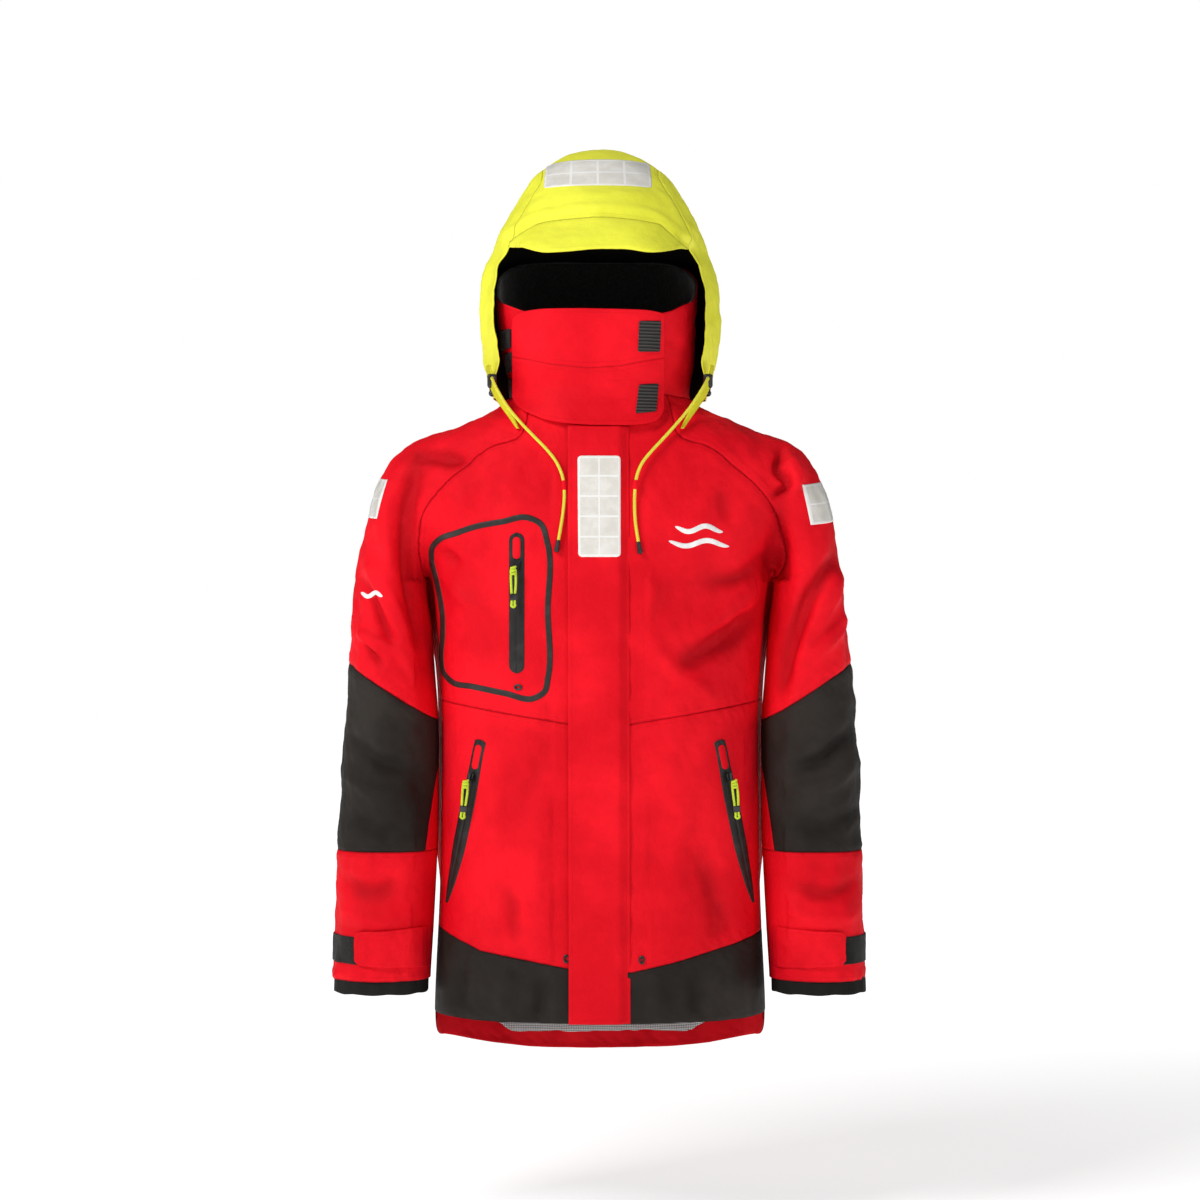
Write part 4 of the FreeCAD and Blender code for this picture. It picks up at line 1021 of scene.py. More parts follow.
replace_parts(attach(guard, "guard"), "face_guard")
guard_tree = tree_of(spots, GUARD_GRID)


def lay_on(tree, x, z, gap=0.0):
    """Points gap millimetres proud of a surface seen from the front, with its normals."""
    spots, normals = [], []
    for a, b in zip(np.ravel(x), np.ravel(z)):
        hit, n, _, _ = tree.ray_cast(Vector((a, -400, b)), Vector((0, 1, 0)))
        if hit is None:
            hit, n, _, _ = tree.find_nearest(Vector((a, -130, b)))
        n = -n if n.y > 0 else n
        spots.append(hit + n * gap)
        normals.append(n)
    return np.array(spots), np.array(normals)


def patch(name, tree, corners, thickness, material, rows=24, columns=24, gap=None, body_name="body",
          corner_round=2.0):
    """A thin four-cornered patch (lower left, lower right, upper right, upper left) lying on a surface."""
    (x0, z0), (x1, z1), (x2, z2), (x3, z3) = corners
    v, u = np.meshgrid(np.linspace(0, 1, rows), np.linspace(0, 1, columns), indexing="ij")
    wide, high = math.hypot(x1 - x0, z1 - z0), math.hypot(x3 - x0, z3 - z0)
    du, dv = u * wide, v * high
    near_u, near_v = np.minimum(du, wide - du), np.minimum(dv, high - dv)
    in_corner = (near_u < corner_round) & (near_v < corner_round)
    to_arc_u, to_arc_v = corner_round - near_u, corner_round - near_v
    pull = np.minimum(1, corner_round / np.maximum(np.hypot(to_arc_u, to_arc_v), 1e-6))
    su = np.where(du < wide / 2, corner_round - to_arc_u * pull, wide - corner_round + to_arc_u * pull)
    sv = np.where(dv < high / 2, corner_round - to_arc_v * pull, high - corner_round + to_arc_v * pull)
    u, v = np.where(in_corner, su / wide, u), np.where(in_corner, sv / high, v)
    x = (x0 * (1 - u) + x1 * u) * (1 - v) + (x3 * (1 - u) + x2 * u) * v
    z = (z0 * (1 - u) + z1 * u) * (1 - v) + (z3 * (1 - u) + z2 * u) * v
    spots, normals = lay_on(tree, x, z, thickness if gap is None else gap)
    obj = sheet(name, spots, grid_faces(rows, columns), thickness, material, normals=normals,
                attributes={"u": u.ravel(), "v": v.ravel()})
    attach(obj, body_name)
    return obj


for name, corners in (("guard_patch_upper", [(47.5, 64.5), (75, 65.5), (76.5, 104), (49, 103)]),
                      ("guard_patch_lower", [(44.5, -13.5), (70.5, -10.5), (73.5, 25.5), (49, 23.5)])):
    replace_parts(patch(name, guard_tree, corners, 1.2, HOOK, body_name="guard"), "face_guard_patches")
collar_points = np.array([v.co for v in collar.data.vertices])[:COLLAR_ROWS * COLLAR_COLUMNS] / MM
collar_tree = tree_of(collar_points, COLLAR_GRID)
for number, corners in enumerate(([(-128, 74), (-113, 75), (-113, 99), (-130, 99)],
                                  [(-121, 45), (-109, 46), (-109, 70), (-122, 69)],
                                  [(-116.5, 14), (-105, 15), (-105, 38), (-117.5, 37)])):
    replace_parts(patch(f"collar_loop_{number + 1}", collar_tree, corners, 1.3, LOOP), "collar_loop_patches")

# ------------------------------------------------------------------ storm flap

FLAP_BOTTOM, FLAP_TOP, FLAP_FREE, FLAP_SEWN = -774.5, -28.6, -40.5, 36.5
FLAP_GRID = grid_faces(300, 44)
fz, fx = np.meshgrid(np.linspace(FLAP_BOTTOM, FLAP_TOP, 300), np.linspace(FLAP_FREE, FLAP_SEWN, 44), indexing="ij")
fx = fx + 1.6 * (fz + 28) / -746
fy = section_y(TORSO, fx, fz) - (8.4 - 7.4 * step((fx - 22) / 14))
spots = np.column_stack([fx.ravel(), fy.ravel(), fz.ravel()])
sewn = bump((fx.ravel() - 33) / 14)
ripple = np.sin(spots[:, 2] * 0.115 + 2.2 * np.sin(spots[:, 2] * 0.019)) * 0.9 * sewn
ripple += waves(spots, 110, 51, (0.6, 1, 1.4)) * 1.3 + waves(spots, 30, 52, (1.5, 1, 0.8)) * 0.35
ripple += np.sin(spots[:, 2] * 0.031 + 1) * 1.2 * step((-20 - spots[:, 0]) / 20)
spots[:, 1] -= np.clip(ripple, -1.2, 4)
flap = sheet("storm_flap", spots, FLAP_GRID, 2.2, RED, RED,
             attributes={"seam": np.minimum(edge_distance(fx, fz) + 1.2, 40)})
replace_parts(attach(flap, "flap"), "storm_flap")
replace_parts(patch("chest_reflector", tree_of(spots, FLAP_GRID),
                   [(-27, -193.5), (25.5, -193.5), (25.5, -67), (-28, -67)],
                  0.5, REFLECT_CHEST, 80, 40, 0.6, "flap", 5.0), "chest_reflector")

# ------------------------------------------------------------------ hood

HOOD = np.array([(-14, 131, 232, 106, 2.6), (13, 137, 232, 112, 2.6), (31, 141, 232, 122, 2.6),
                 (60, 149, 232, 138, 2.6), (105, 156, 228, 156, 2.6), (139, 156, 222, 165, 2.6),
                 (170, 152, 212, 168, 2.5), (200, 141, 192, 165, 2.4), (234, 126, 162, 156, 2.3),
                 (263, 112, 140, 142, 2.25), (294, 92, 108, 118, 2.2), (317, 64, 76, 88, 2.15),
                 (330, 42, 48, 58, 2.1), (337, 14, 17, 20, 2.0)], float)
HOOD_VOXEL = 3.4
hood = Shell([section_rings(HOOD, np.concatenate([np.linspace(-14, 300, 110), np.linspace(302, 337, 30)]), 200)],
             HOOD_VOXEL)
hood.relax(4, 0.5)
hx, hy, hz = hood.points.T
# the side edges are drawn in beside the face
pinch = step((-hy - 2) / 78) * step((hz - 22) / 40) * step((228 - hz) / 40)
hood.points[:, 0] -= np.sign(hx) * np.minimum(np.abs(hx), 16 * pinch * step((np.abs(hx) - 90) / 40))
face_edge = smooth([-20, 15, 50, 100, 150, 190, 215, 300], [-86, -84, -79, -73, -77, -92, -108, -150], hz)
brim = smooth([-140, -127, -112, -62, -25, 0, 25, 62, 112, 127, 140],
              [214, 206, 197, 181, 184, 186, 185.5, 181, 195, 204, 212], hx)
hood.drop(hood.cut(np.maximum(hy - face_edge, hz - brim)))
hx, hy, hz = hood.points.T
hood.drop(hood.cut(hz - np.interp(hy, [-100, 0, 140, 190, 232], [11, 11, 15, 40, 60])))
hx, hy, hz = hood.points.T
front_part = step((-hy - 20) / 60)
band = 74 + np.interp(hz, [210, 290], [40, 0]) * front_part
middle = hood.cut(band - np.abs(hx), hz > 40)
peak_line = smooth([-150, -108, -70, 0, 70, 106, 150], [190, 210, 226, 229, 224, 198, 180], hx)
peak = hood.cut(peak_line - hz, hy < -60)
peak &= hood.centres()[:, 1] < -96
middle &= ~peak
hood_label = np.where(peak, 2, np.where(middle, 1, 0))
hood_seam = hood.seam_distance(hood.borders(hood_label))
hood.relax(1, 0.3, (~hood.borders(hood_label)).astype(float))
hood_normal = hood.normals()
rise = 2.6 * waves(hood.points, 90, 61, (1.3, 1, 0.8)) + 1.0 * waves(hood.points, 34, 62, (1.5, 1, 0.7))
rise += 0.3 * waves(hood.points, 12, 63)
crest = smooth([-150, -100, -60, 0, 60, 104, 150], [205, 228, 240, 243, 238, 214, 196], hx)
front_part = step((-hy - 60) / 40)
rise += front_part * (2.6 * bump((hz - crest) / 6) - 1.8 * bump((hz - crest + 11) / 5) +
                      2.2 * bump((hz - crest - 16) / 9))
for path, height, width in (
        ([(-132, 215), (-118, 150), (-124, 90)], 3, 9), ([(130, 215), (118, 150), (124, 90)], 3, 9),
        ([(-110, 262), (-60, 272), (0, 262)], 2.0, 9), ([(30, 258), (80, 262), (112, 240)], 2.4, 8),
        ([(-96, 290), (-112, 262), (-126, 236)], -2.2, 8), ([(90, 292), (112, 258), (124, 232)], -2.4, 8)):
    d, along = line_distance(hx, hz, rounded(path, 20))
    rise += height * bump(d / width) * np.sin(np.pi * np.clip(along, 0.05, 0.95)) * step(-hy / 40)
rise += -0.8 * bump(hood_seam / 2.6)
locks_near = np.hypot(np.abs(hx) - 137, hz - 31) + np.abs(hy + 75) * 0.5
rise *= step((locks_near - 14) / 30) * (1 - 0.75 * bump((hz - 302) / 26) * bump(hx / 90) * (hy < 0))
rise = np.where(hz < 50, np.minimum(rise, 1.0), rise)
hood.points += hood_normal * np.clip(rise, -4.5, 6)[:, None]
hood_normal = hood.normals()
hood_open = hood.borders(np.zeros(len(hood.tris), int))
hood_rim = hood.seam_distance(hood_open, 12)
hood_seam = np.where(hood_open, 1.6, np.minimum(hood_seam, hood_rim + 1.6))
for number, name, node in ((0, "hood_sides", "hood_side_panels"), (1, "hood_crown", "hood_centre"),
                           (2, "hood_peak", "hood_peak")):
    obj = hood.cloth(name, hood_label == number, 1.3, YELLOW, YELLOW_SHADED_INSIDE, hood_normal, {"seam": hood_seam})
    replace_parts(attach(obj, "hood"), node)
wide_rim = hood.seam_distance(hood_open & (hood.points[:, 2] > 16) & (hood.points[:, 1] < 0), 24)
obj = hood.cloth("hood_lining", wide_rim[hood.tris].min(axis=1) > 15, 0.8, LINING, LINING, hood_normal, lift=-1.7)
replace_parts(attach(obj, "hood"), "hood_lining")
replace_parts(patch("hood_reflector", tree_of(hood.points, hood.tris), [(-71, 272), (65.5, 272), (63, 312), (-69, 311)],
                  0.5, REFLECT_HOOD, 40, 100, 0.6, "hood", 4.0), "hood_reflector")

# yellow cloth tails that carry the cord locks and run down over the collar seam
TAIL_OUTER = [(-144.5, -58, 52), (-142.5, -72, 36), (-136.5, -86, 18), (-126, -99, 0), (-114.5, -110, -16),
              (-104, -120, -31)]
TAIL_INNER = [(-139, -80, 52), (-135, -90, 32), (-127, -100, 14), (-117, -108, -2), (-109, -114, -16),
              (-102.5, -121, -32)]
for side, word in SIDES:
    at = np.linspace(0, 1, len(TAIL_OUTER))
    a, b = (np.column_stack([smooth(at, column, np.linspace(0, 1, 40)) for column in np.transpose(edge)])
            for edge in (TAIL_OUTER, TAIL_INNER))
    t = np.linspace(0, 1, 12)
    spots = a[:, None] * (1 - t[None, :, None]) + b[:, None] * t[None, :, None]
    spots[..., 1] -= (1.8 * np.sin(np.pi * t))[None, :]
    spots = spots.reshape(-1, 3)
    spots[:, 1] -= 0.5 * waves(spots, 18, 71 + side)
    spots[:, 0] *= -side
    faces = grid_faces(40, 12)
    if side > 0:
        faces = [f[::-1] for f in faces]
    edge = np.minimum(np.tile(t, 40), 1 - np.tile(t, 40)) * 15
    tail = sheet(f"hood_tail_{word}", spots, faces, 1.4, YELLOW, YELLOW_SHADED_INSIDE, attributes={"seam": edge + 1.6})
    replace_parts(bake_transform(tail), "hood_side_panels")

# ------------------------------------------------------------------ tubes and drawcords

def tube_mesh(path, radius, sides=14, closed=False, squash=1.0):
    """Points and faces of a tube along a path, round-ended when open."""
    path = np.asarray(path, float)
    n = len(path)
    tangent = np.gradient(path, axis=0)
    if closed:
        tangent = np.roll(path, -1, axis=0) - np.roll(path, 1, axis=0)
    tangent /= np.linalg.norm(tangent, axis=1)[:, None]
    side = np.cross(tangent[0], [0.13, 0.2, 0.97])
    side /= np.linalg.norm(side)
    radius = np.broadcast_to(np.asarray(radius, float), (n,))
    rings = []
    for p, t, r in zip(path, tangent, radius):
        side = side - t * (side @ t)
        side /= np.linalg.norm(side)
        up = np.cross(t, side)
        a = 2 * np.pi * np.arange(sides) / sides
        rings.append(p + r * (np.cos(a)[:, None] * side + squash * np.sin(a)[:, None] * up))
    points = np.array(rings).reshape(-1, 3)
    faces = grid_faces(n, sides, True)
    if closed:
        last = (n - 1) * sides
        faces += [(last + c, last + (c + 1) % sides, (c + 1) % sides, c) for c in range(sides)]
    else:
        for start, way, ring in ((0, -1, 0), (n - 1, 1, (n - 1) * sides)):
            base = len(points)
            points = np.vstack([points, path[start] + way * tangent[start] * radius[start] * 0.5])
            for c in range(sides):
                d = (c + 1) % sides
                faces.append((ring + c, ring + d, base) if way > 0 else (ring + d, ring + c, base))
    return points, faces


def tube(name, path, radius, material, slot=None, sides=14, closed=False, squash=1.0):
    points, faces = tube_mesh(path, radius, sides, closed, squash)
    obj = new_mesh(name, points, faces, [material])
    return obj if slot else obj


def spline_line(name, points):
    """The smooth line of a cord through its listed route."""
    curve = bpy.data.curves.new(name, "CURVE")
    curve.dimensions = "3D"
    curve.resolution_u = 10
    spline = curve.splines.new("NURBS")
    spline.points.add(len(points) - 1)
    for target, (x, y, z) in zip(spline.points, points):
        target.co = (x, y, z, 1)
    spline.order_u = 3
    spline.use_endpoint_u = True
    obj = bpy.data.objects.new(name, curve)
    scene.collection.objects.link(obj)
    bpy.context.view_layer.update()
    mesh = bpy.data.meshes.new_from_object(obj.evaluated_get(bpy.context.evaluated_depsgraph_get()))
    line = [tuple(v.co) for v in mesh.vertices]
    bpy.data.objects.remove(obj)
    bpy.data.meshes.remove(mesh)
    bpy.data.curves.remove(curve)
    return line


ROUTES = {
    "right": [(-0.137, -0.0895, 0.034), (-0.134, -0.103, 0.027), (-0.127, -0.114, 0.013), (-0.116, -0.122, -0.005),
              (-0.101, -0.129, -0.023), (-0.084, -0.136, -0.041), (-0.067, -0.142, -0.058), (-0.0535, -0.146, -0.075),
              (-0.0455, -0.148, -0.095), (-0.044, -0.149, -0.115), (-0.0455, -0.150, -0.135), (-0.0485, -0.1515, -0.155),
              (-0.052, -0.152, -0.174)],
    "left": [(0.137, -0.0895, 0.034), (0.133, -0.103, 0.026), (0.124, -0.113, 0.011), (0.112, -0.121, -0.007),
             (0.097, -0.128, -0.025), (0.081, -0.135, -0.043), (0.065, -0.141, -0.060), (0.051, -0.146, -0.077),
             (0.0445, -0.148, -0.096), (0.043, -0.149, -0.116), (0.043, -0.150, -0.136), (0.0445, -0.1515, -0.156),
             (0.048, -0.152, -0.176)],
}
CORD_RADIUS, KEEPER_LEVEL = 2.0, -104
TIP_AT, TIP_RADIUS = [-1.5, 0, 1.5, 4, 8, 11, 12.6, 13.4], [2.3, 2.7, 2.7, 2.8, 3.1, 3.4, 3.3, 2.2]
for word, route in ROUTES.items():
    line = spline_line(f"route_{word}", route)
    mm = np.array(line) / MM
    cord = tube(f"drawcord_{word}_line", mm, CORD_RADIUS, CORD, "drawcord")
    along = mm[-1] - mm[-4]
    along /= np.linalg.norm(along)
    tip = tube(f"cord_end_{word}", mm[-1] + along * np.array(TIP_AT)[:, None], TIP_RADIUS, HARD, "hardware")
    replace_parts(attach(tip, "body"), "cord_ends")
    middle = np.argmin(np.abs(mm[:, 2] - KEEPER_LEVEL))
    run = mm[middle - 3:middle + 4]
    s = np.linspace(0, 1, 14)[:, None]
    keeper = tube(f"cord_keeper_{word}", run[0] * (1 - s) + run[-1] * s,
                  3.3 + 0.35 * np.cos(np.linspace(-2.6, 2.6, 14)), RED_FLAT, "red_shell", squash=0.8)
    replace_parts(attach(keeper, "body"), "cord_keepers")
    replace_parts(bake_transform(cord), f"drawcord_{word}")

# ------------------------------------------------------------------ zips and pocket tape

def band(name, path, half_width, profile, material, closed=False, slot="coated_tape", thickness=0.8):
    """A strip along an (x, z) path lying on the body; profile gives its height at points across it, -1 to 1."""
    path = np.asarray(path, float)
    tangent = np.roll(path, -1, 0) - np.roll(path, 1, 0) if closed else np.gradient(path, axis=0)
    tangent /= np.linalg.norm(tangent, axis=1)[:, None]
    across = np.column_stack([-tangent[:, 1], tangent[:, 0]])
    half_width = np.broadcast_to(np.asarray(half_width, float), (len(path),))
    u, height = np.array(profile, float).T
    x = path[:, 0, None] + across[:, 0, None] * half_width[:, None] * u[None]
    z = path[:, 1, None] + across[:, 1, None] * half_width[:, None] * u[None]
    spots, normals = lay_on(body_tree, x, z)
    spots += normals * np.tile(height, len(path))[:, None]
    faces = grid_faces(len(path), len(u))
    if closed:
        n, w = len(path), len(u)
        faces += [((n - 1) * w + c, (n - 1) * w + c + 1, c + 1, c) for c in range(w - 1)]
    return sheet(name, spots, facing(spots, faces), thickness, material, normals=normals)


def stadium_widths(path, half):
    gaps = np.hypot(*np.diff(path, axis=0).T)
    s = np.concatenate([[0], np.cumsum(gaps)])
    near = np.minimum(s, s[-1] - s)
    return np.where(near < half, np.sqrt(np.clip(1 - (1 - near / half) ** 2, 0.02, 1)), 1) * half


def run_path(points, spacing=1.2):
    pts = np.asarray(points, float)
    length = np.hypot(*np.diff(pts, axis=0).T).sum()
    return rounded(points, max(8, int(length / spacing)))


TAPE_PROFILE = [(-1, 0.2), (-0.85, 0.9), (-0.4, 1.0), (0, 0.85), (0.4, 1.0), (0.85, 0.9), (1, 0.2)]
ZIP_PROFILE = [(-1, 0.1), (-0.9, 0.9), (-0.6, 1.25), (-0.3, 1.35), (-0.12, 1.3), (-0.04, 0.35), (0.04, 0.35),
               (0.12, 1.3), (0.3, 1.35), (0.6, 1.25), (0.9, 0.9), (1, 0.1)]


def garage(name, points, half, crown):
    """The raised cloth hood over a zip's top end."""
    path = run_path(points)
    shape = [(-1, 1.2), (-0.7, crown - 0.4 if crown > 2.4 else crown - 0.3), (-0.2, crown)]
    shape += [(-u, height) for u, height in shape[::-1]]
    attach(band(name, path, stadium_widths(path, half), shape, RED_FLAT, slot="red_shell"), "body")


pocket_tape = band("chest_pocket_tape_line", rounded(POCKET, 320, True), 3.7, TAPE_PROFILE, TAPE, closed=True)
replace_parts(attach(pocket_tape, "body"), "chest_pocket_tape")
path = run_path([(-104, -163), (-104, -220), (-104, -280), (-104, -338.5)])
chest_band = band("chest_zip_band", path, stadium_widths(path, 9.8), ZIP_PROFILE, TAPE_DARK)
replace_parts(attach(chest_band, "body"), "chest_zip")
garage("chest_zip_garage", [(-104, -168), (-104, -182), (-104, -196)], 5.0, 2.5)
for side, word in SIDES:
    path = run_path([(-side * x, z) for x, z in [(-149.5, -423), (-152, -432), (-158, -462), (-167, -505),
                                                 (-177.5, -555), (-187, -598), (-195, -632)]])
    widths = smooth([-632, -600, -550, -500, -450, -420], [1.5, 5.5, 8.6, 8.8, 7.4, 7.2], path[:, 1])
    widths = np.minimum(widths, stadium_widths(path, 7.2) + 2)
    hand_band = band(f"hand_zip_{word}", path, widths, ZIP_PROFILE, TAPE_DARK)
    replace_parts(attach(hand_band, "body"), "hand_zips")
    garage(f"hand_zip_garage_{word}", [(-side * x, z) for x, z in [(-151.5, -429), (-154.5, -444), (-157.5, -460)]],
           4.4, 2.3)


def cuboid(name, centre, size, axes, material, bevel):
    """A softly rounded block with its own axes, in millimetres."""
    corner = np.array([(x, y, z) for x in (-0.5, 0.5) for y in (-0.5, 0.5) for z in (-0.5, 0.5)]) * size
    points = centre + corner @ np.array(axes)
    faces = [(0, 1, 3, 2), (4, 6, 7, 5), (0, 4, 5, 1), (2, 3, 7, 6), (0, 2, 6, 4), (1, 5, 7, 3)]
    obj = new_mesh(name, points, faces, [material])
    mod = obj.modifiers.new("edges", "BEVEL")
    mod.width = bevel * MM
    mod.segments = 4
    return obj


def pull(name, node, material):
    """A looped cord pull: knot at the slider, two legs, a small moulded clasp and the loop below it."""
    low, high = (np.array(v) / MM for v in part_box(node))
    if node == "chest_pull":
        top = np.array([(low[0] + high[0]) / 2, (low[1] + high[1]) / 2, high[2] - 1.5])
        bottom = np.array([top[0], top[1], low[2]])
    else:
        right = "right" in node
        x0, x1 = (high[0], low[0]) if right else (low[0], high[0])
        inset = 4.5 if right else -4.5
        top = np.array([x0 - inset, low[1] + 3.0, high[2] - 1.5])
        bottom = np.array([x1 + inset * 0.6, high[1] - 3.0, low[2] + 1.0])
    down = (bottom - top) / np.linalg.norm(bottom - top)
    out = np.array([0, -1.0, 0])
    out = out - down * (out @ down)
    out /= np.linalg.norm(out)
    side = np.cross(out, down)
    top = top + out * 3.2
    length = np.linalg.norm(bottom - top) + 9
    line = [top + down * (4 + t * (length - 8)) + side * (2.5 + 0.7 * math.sin(t * 5)) for t in np.linspace(0, 1, 30)]
    line += [top + down * (length - 4 + 3.4 * math.sin(a)) + side * 2.6 * math.cos(a)
             for a in np.linspace(0, math.pi, 14)[1:-1]]
    line += [top + down * (4 + t * (length - 8)) - side * (2.5 + 0.5 * math.sin(t * 4 + 1))
             for t in np.linspace(1, 0, 30)]
    knot = [top + down * (1 + a * 0.62) + side * 2.6 * math.cos(a) + out * 2.2 * math.sin(a)
            for a in np.linspace(0, 2 * math.pi * 2.5, 70)]
    made = [tube(f"{name}_loop", line, 1.55, material, "drawcord", 12, True),
            tube(f"{name}_knot", knot, 1.6, material, "drawcord", 12),
            cuboid(f"{name}_clasp", top + down * (length - 13), (9.6, 4.6, 8.5), (side, out, down), HARD, 1.4)]
    for obj in made:
        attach(obj, node)
        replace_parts(obj, node)


for node in ("chest_pull", "hand_pull_right", "hand_pull_left"):
    pull(f"{node}_cord", node, PULL)

# ------------------------------------------------------------------ cuffs

# the sleeve below the elbow, from its end up: level, outer x, inner x, middle y and half depth
LOW_SLEEVE = np.array([(outer[1], outer[0], inner[0], y, depth) for outer, inner, y, depth in SLEEVE[:6:-1]], float)
CUFF_TOP, CUFF_BOTTOM, CUFF_RINGS, CUFF_POINTS = -690, -747, 26, 130


def cuff_ring(side, z, grow):
    ox, ix, cy, hd = (smooth(LOW_SLEEVE[:, 0], LOW_SLEEVE[:, k], z) for k in (1, 2, 3, 4))
    c, d = super_ring(1, 1, 1, SLEEVE_POWER, CUFF_POINTS)
    return np.column_stack([((ox + ix) / 2 + c * ((ox - ix) / 2 - grow)) * -side, cy + d * (hd + grow),
                            np.full(CUFF_POINTS, float(z))])


def around(side, angles, levels, middle_x, middle_y, start):
    """Points on a sleeve at these angles round its middle, 0 in front and 90 degrees on the outer side."""
    spots, normals = [], []
    for angle, z, x in zip(angles, levels, np.broadcast_to(middle_x, np.shape(levels))):
        way = Vector((side * math.sin(angle), -math.cos(angle), 0))
        hit, n, _, _ = body_tree.ray_cast(Vector((side * x, middle_y, z)) + way * start, -way)
        spots.append(hit)
        normals.append(n if n.dot(way) > 0 else -n)
    return np.array(spots), np.array(normals)


for side, word in SIDES:
    rings = []
    cuff_levels = np.linspace(CUFF_TOP, CUFF_BOTTOM, CUFF_RINGS)
    for z in cuff_levels:
        ring = cuff_ring(side, z, -4.2 - 4.5 * step((z + 734) / 30))
        ring[:, 0] -= side * 2.5
        a = np.arange(CUFF_POINTS) / CUFF_POINTS * 2 * np.pi
        ring[:, 1] += 0.8 * np.sin(a * 17) * step((z + 700) / -30)
        ring[:, 2] += 0.6 * np.sin(a * 9 + side) * step((z + 700) / -40)
        rings.append(ring)
    faces = grid_faces(CUFF_RINGS, CUFF_POINTS, True)
    if side < 0:
        faces = [f[::-1] for f in faces]
    edge = np.repeat(np.abs(cuff_levels - CUFF_BOTTOM), CUFF_POINTS)
    cuff = sheet(f"cuff_inside_{word}", np.vstack(rings), faces, 1.6, BLACK, LINING, attributes={"seam": edge + 1.6})
    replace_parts(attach(cuff, f"forearm_{word}"), f"inner_cuff_{word}")

    v, u = np.meshgrid(np.linspace(0, 1, 24), np.linspace(0, 1, 70), indexing="ij")
    spots, normals = around(side, np.radians(-22 + 138 * u.ravel()), -708 + 34.5 * v.ravel(), 281, -38, 160)
    strip = sheet(f"cuff_strip_{word}", spots + normals * 1.4, facing(spots, grid_faces(24, 70)), 1.3, LOOP,
                  normals=normals)
    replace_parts(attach(strip, f"forearm_{word}"), f"cuff_loop_strip_{word}")
    columns, rows = 90, 34
    x = -221 - 88 * np.linspace(0, 1, columns)
    top = smooth([-312, -309, -304, -292, -221], [-680, -671, -666.5, -664.5, -661.5], x)
    low = smooth([-312, -309, -304, -292, -221], [-695, -703, -708.5, -710.5, -713], x)
    tx = np.tile(x, (rows, 1))
    tz = low + (top - low) * np.linspace(0, 1, rows)[:, None]
    lift = 3.4 + 0.8 * step((-240 - tx) / 40) - 2.6 * step((tx + 229) / 8)
    spots, normals = lay_on(body_tree, tx * -side, tz)
    spots += normals * lift.ravel()[:, None]
    spots += normals * (0.7 * waves(spots, 26, 81 + side))[:, None]
    tab = sheet(f"cuff_tab_{word}_cloth", spots, facing(spots, grid_faces(rows, columns)), 1.9, RED, RED,
                normals=normals, attributes={"seam": edge_distance(tx, tz) + 1.4})
    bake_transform(tab)
    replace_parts(tab, f"cuff_tab_{word}")

    # reflective patch on the outer side of the upper sleeve
    v, u = np.meshgrid(np.linspace(0, 1, 30), np.linspace(0, 1, 60), indexing="ij")
    edge_x, edge_z, drop = ((270, 283), (-94, -144), 4) if side < 0 else ((256, 267), (-101, -152), 7)
    u, v = u.ravel(), v.ravel()
    x, z = (edge[1] + (edge[0] - edge[1]) * v for edge in (edge_x, edge_z))
    middle = smooth([-180, -140, -100, -60], [268, 263, 254, 240], z)
    first, _ = lay_on(body_tree, side * x, z)
    start_angle = np.arctan2(x - middle, -12 - first[:, 1])
    angle = start_angle + (math.radians(122) - start_angle) * u
    spots, normals = around(side, angle, z + drop * np.sin(math.pi / 2 * np.minimum(1, u * 1.6)), middle, -12, 200)
    spots += normals * 0.6
    shine = sheet(f"sleeve_reflector_{word}_sheet", spots, facing(spots, grid_faces(30, 60), 0, side), 0.5,
                  REFLECT_ARM, normals=normals, attributes={"u": u, "v": v})
    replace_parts(shoulder_blend(shine), f"sleeve_reflector_{word}")

# ------------------------------------------------------------------ eyelets, plain prints and linings

for number, (x, z, upright) in enumerate(((-42, -694, 1), (52, -695.5, 1), (-102, -356, 0))):
    (spot,), (n,) = lay_on(body_tree, [x], [z])
    side_axis = np.cross(n, [0, 0, 1.0])
    side_axis /= np.linalg.norm(side_axis)
    up = np.cross(side_axis, n)
    wide, high = (2.7, 4.4) if upright else (4.4, 2.7)

    def oval(count, lift):
        a = np.linspace(0, 2 * np.pi, count, endpoint=False)[:, None]
        return spot + n * lift + np.cos(a) * side_axis * wide + np.sin(a) * up * high

    ring = tube(f"eyelet_{number + 1}", oval(48, 0.9), 1.25, HARD, "hardware", 12, True)
    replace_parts(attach(ring, "body"), "eyelets")
    disc = new_mesh(f"eyelet_hole_{number + 1}", np.vstack([oval(24, 0.4), [spot - n * 0.4]]),
                    [(i, (i + 1) % 24, 24) for i in range(24)], [LINING])
    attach(disc, "body")

PRINT_PROFILE = [(-1, 0.3), (-0.5, 0.42), (0, 0.42), (0.5, 0.42), (1, 0.3)]


def wave_print(name, x, z, reach, rise, half, phase, count):
    """A plain wavy stroke with pointed ends."""
    s = np.linspace(-1, 1, count)
    path = np.column_stack([x + reach * s, z + rise * np.sin(s * 4.4 + phase)])
    return band(name, path, half * np.sqrt(np.clip(1 - s**4, 0.03, 1)), PRINT_PROFILE, MARK, slot="red_shell",
                thickness=0.3)


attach(wave_print("chest_print_1", 124, -158, 30, 3.5, 3.2, 0.4, 60), "body")
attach(wave_print("chest_print_2", 124, -176, 38, 3.5, 3.2, 0.4, 60), "body")
shoulder_blend(wave_print("sleeve_print", -290, -240, 15, 2.5, 2.8, 0.0, 40))

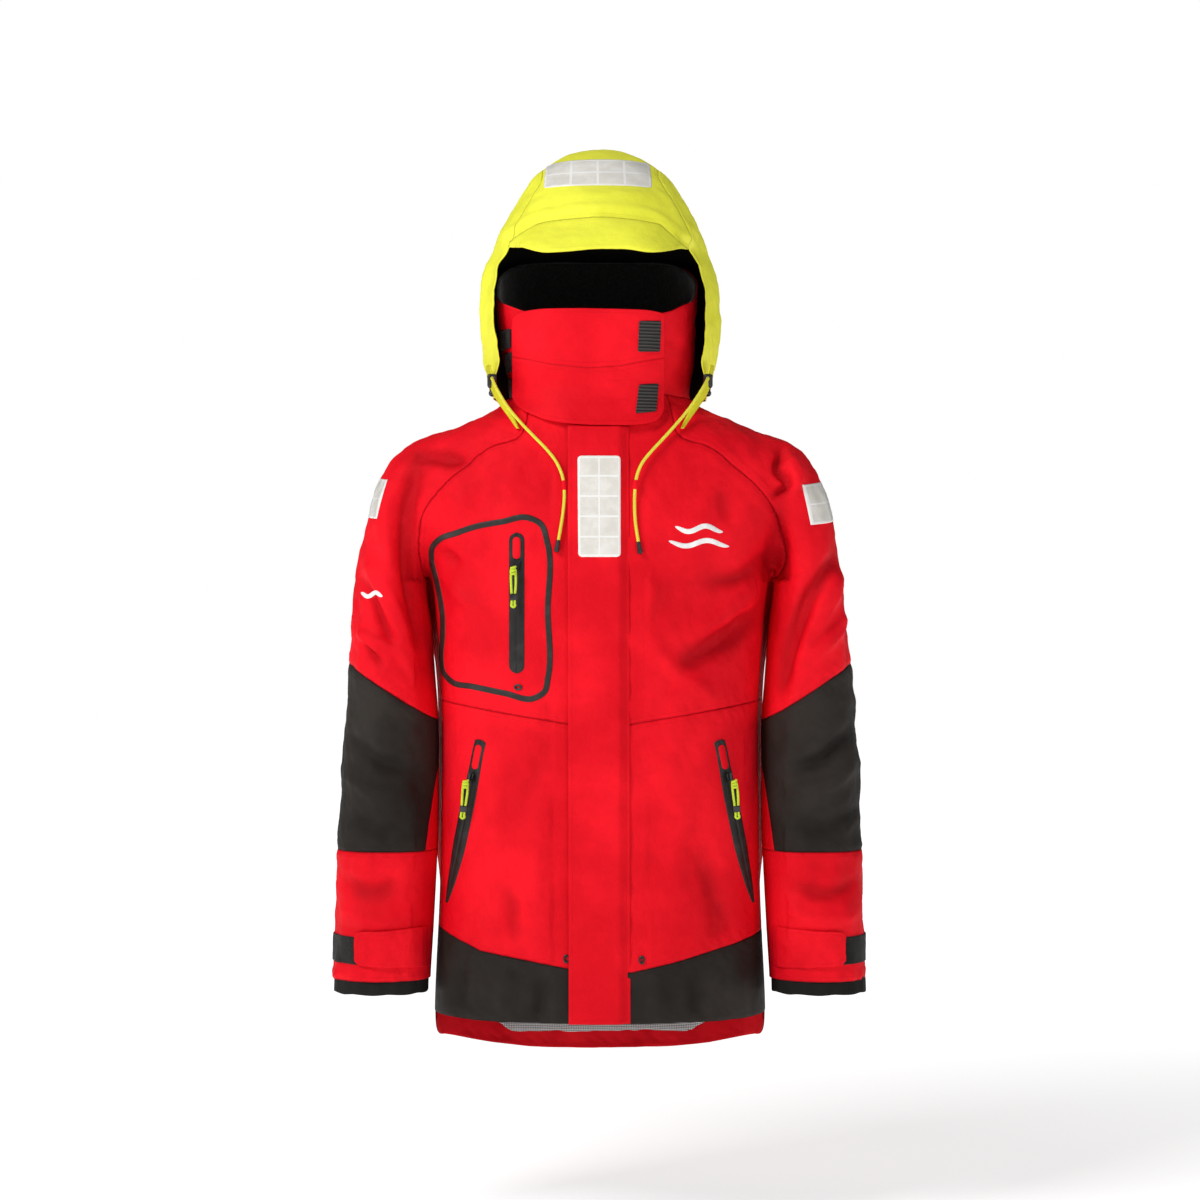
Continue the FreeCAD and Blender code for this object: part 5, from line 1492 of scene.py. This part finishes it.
BACK_LINING = 22
_, on_torso = masks()
mesh_end = body.cut(body.points[:, 2] + 760 + 64 * step(2.2 - 2.2 * np.abs(body.points[:, 0]) / 205),
                    on_torso & (body.points[:, 1] > BACK_LINING))
cx, cy, cz = body.centres().T
torso = ~body.marks["sleeve"]
behind = cy > BACK_LINING
clear_of_sides = ~((np.abs(cx) > 205) & (cz > -225)) & ~((np.abs(cx) > 184) & (cz < -205))
meshed = torso & (~behind | mesh_end) & (cz > np.where(behind, -900.0, -768.0)) & (cz < -120) & clear_of_sides & \
    ((np.abs(cx) > 38) | behind)
inner_sheets = [("mesh_inside", meshed, 0.8, MESH, -6.0, "mesh_lining", "mesh"),
                ("hem_facing", torso & behind & (cz < -780), 0.8, RED_INSIDE, -1.6, "back_hem_facing", "red_shell")]
for word, x0, x1, z0, z1 in (("right", -172, -70, -690, -420), ("left", 70, 172, -690, -420),
                             ("chest", -176, -72, -356, -158)):
    inner_sheets.append((f"pocket_bag_{word}", torso & (cy < -40) & (cx > x0) & (cx < x1) & (cz > z0) & (cz < z1),
                         0.6, MESH, -3.0, "pocket_bags", "mesh"))
for name, chosen, thickness, material, lift, node, slot in inner_sheets:
    obj = body.cloth(name, chosen, thickness, material, material, body_normal, lift=lift)
    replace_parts(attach(obj, "body"), node)
# ------------------------------------------------------------------ carried-over hardware and studio

FINISH = {"main_zip": TAPE, "zip_guard": BLACK_INSIDE, "hanger_loop": TAPE}
FINISH.update({f"{node}_slider": METAL for node in ("chest", "main")})
for _, word in SIDES:
    FINISH.update({f"hand_slider_{word}": METAL, f"cord_lock_{word}": HARD, f"lock_button_{word}": HARD})
for node, material in FINISH.items():
    obj = bpy.data.objects[node]
    if not obj.data.materials:
        obj.data.materials.append(material)
    for material_slot in obj.material_slots:
        material_slot.material = material

FLOOR_RADIUS, FLOOR_LEVEL, FLOOR_SIDES = 14000.0, -1050.0, 64
FLOOR_WHITE_FROM, FLOOR_WHITE_TO = 1.3, 3.2
a = np.arange(FLOOR_SIDES) / FLOOR_SIDES * 2 * np.pi
ring = np.column_stack([FLOOR_RADIUS * np.cos(a), FLOOR_RADIUS * np.sin(a), np.full(FLOOR_SIDES, FLOOR_LEVEL)])
paper = Look("studio_paper")
reach = paper.node("ShaderNodeVectorMath", "Value", [("operation", "LENGTH")], Vector=paper.place)
glow = paper.node("ShaderNodeMapRange", 0, Value=reach, From_Min=FLOOR_WHITE_FROM, From_Max=FLOOR_WHITE_TO,
                  To_Min=0.60, To_Max=1.0)
paper.shade(Base_Color=(0.93, 0.93, 0.93), Roughness=0.9, Specular_IOR_Level=0.1, Emission_Color=(1, 1, 1),
            Emission_Strength=glow)
new_mesh("studio_floor", ring, [tuple(range(FLOOR_SIDES))], [paper.material], smooth_shade=False)
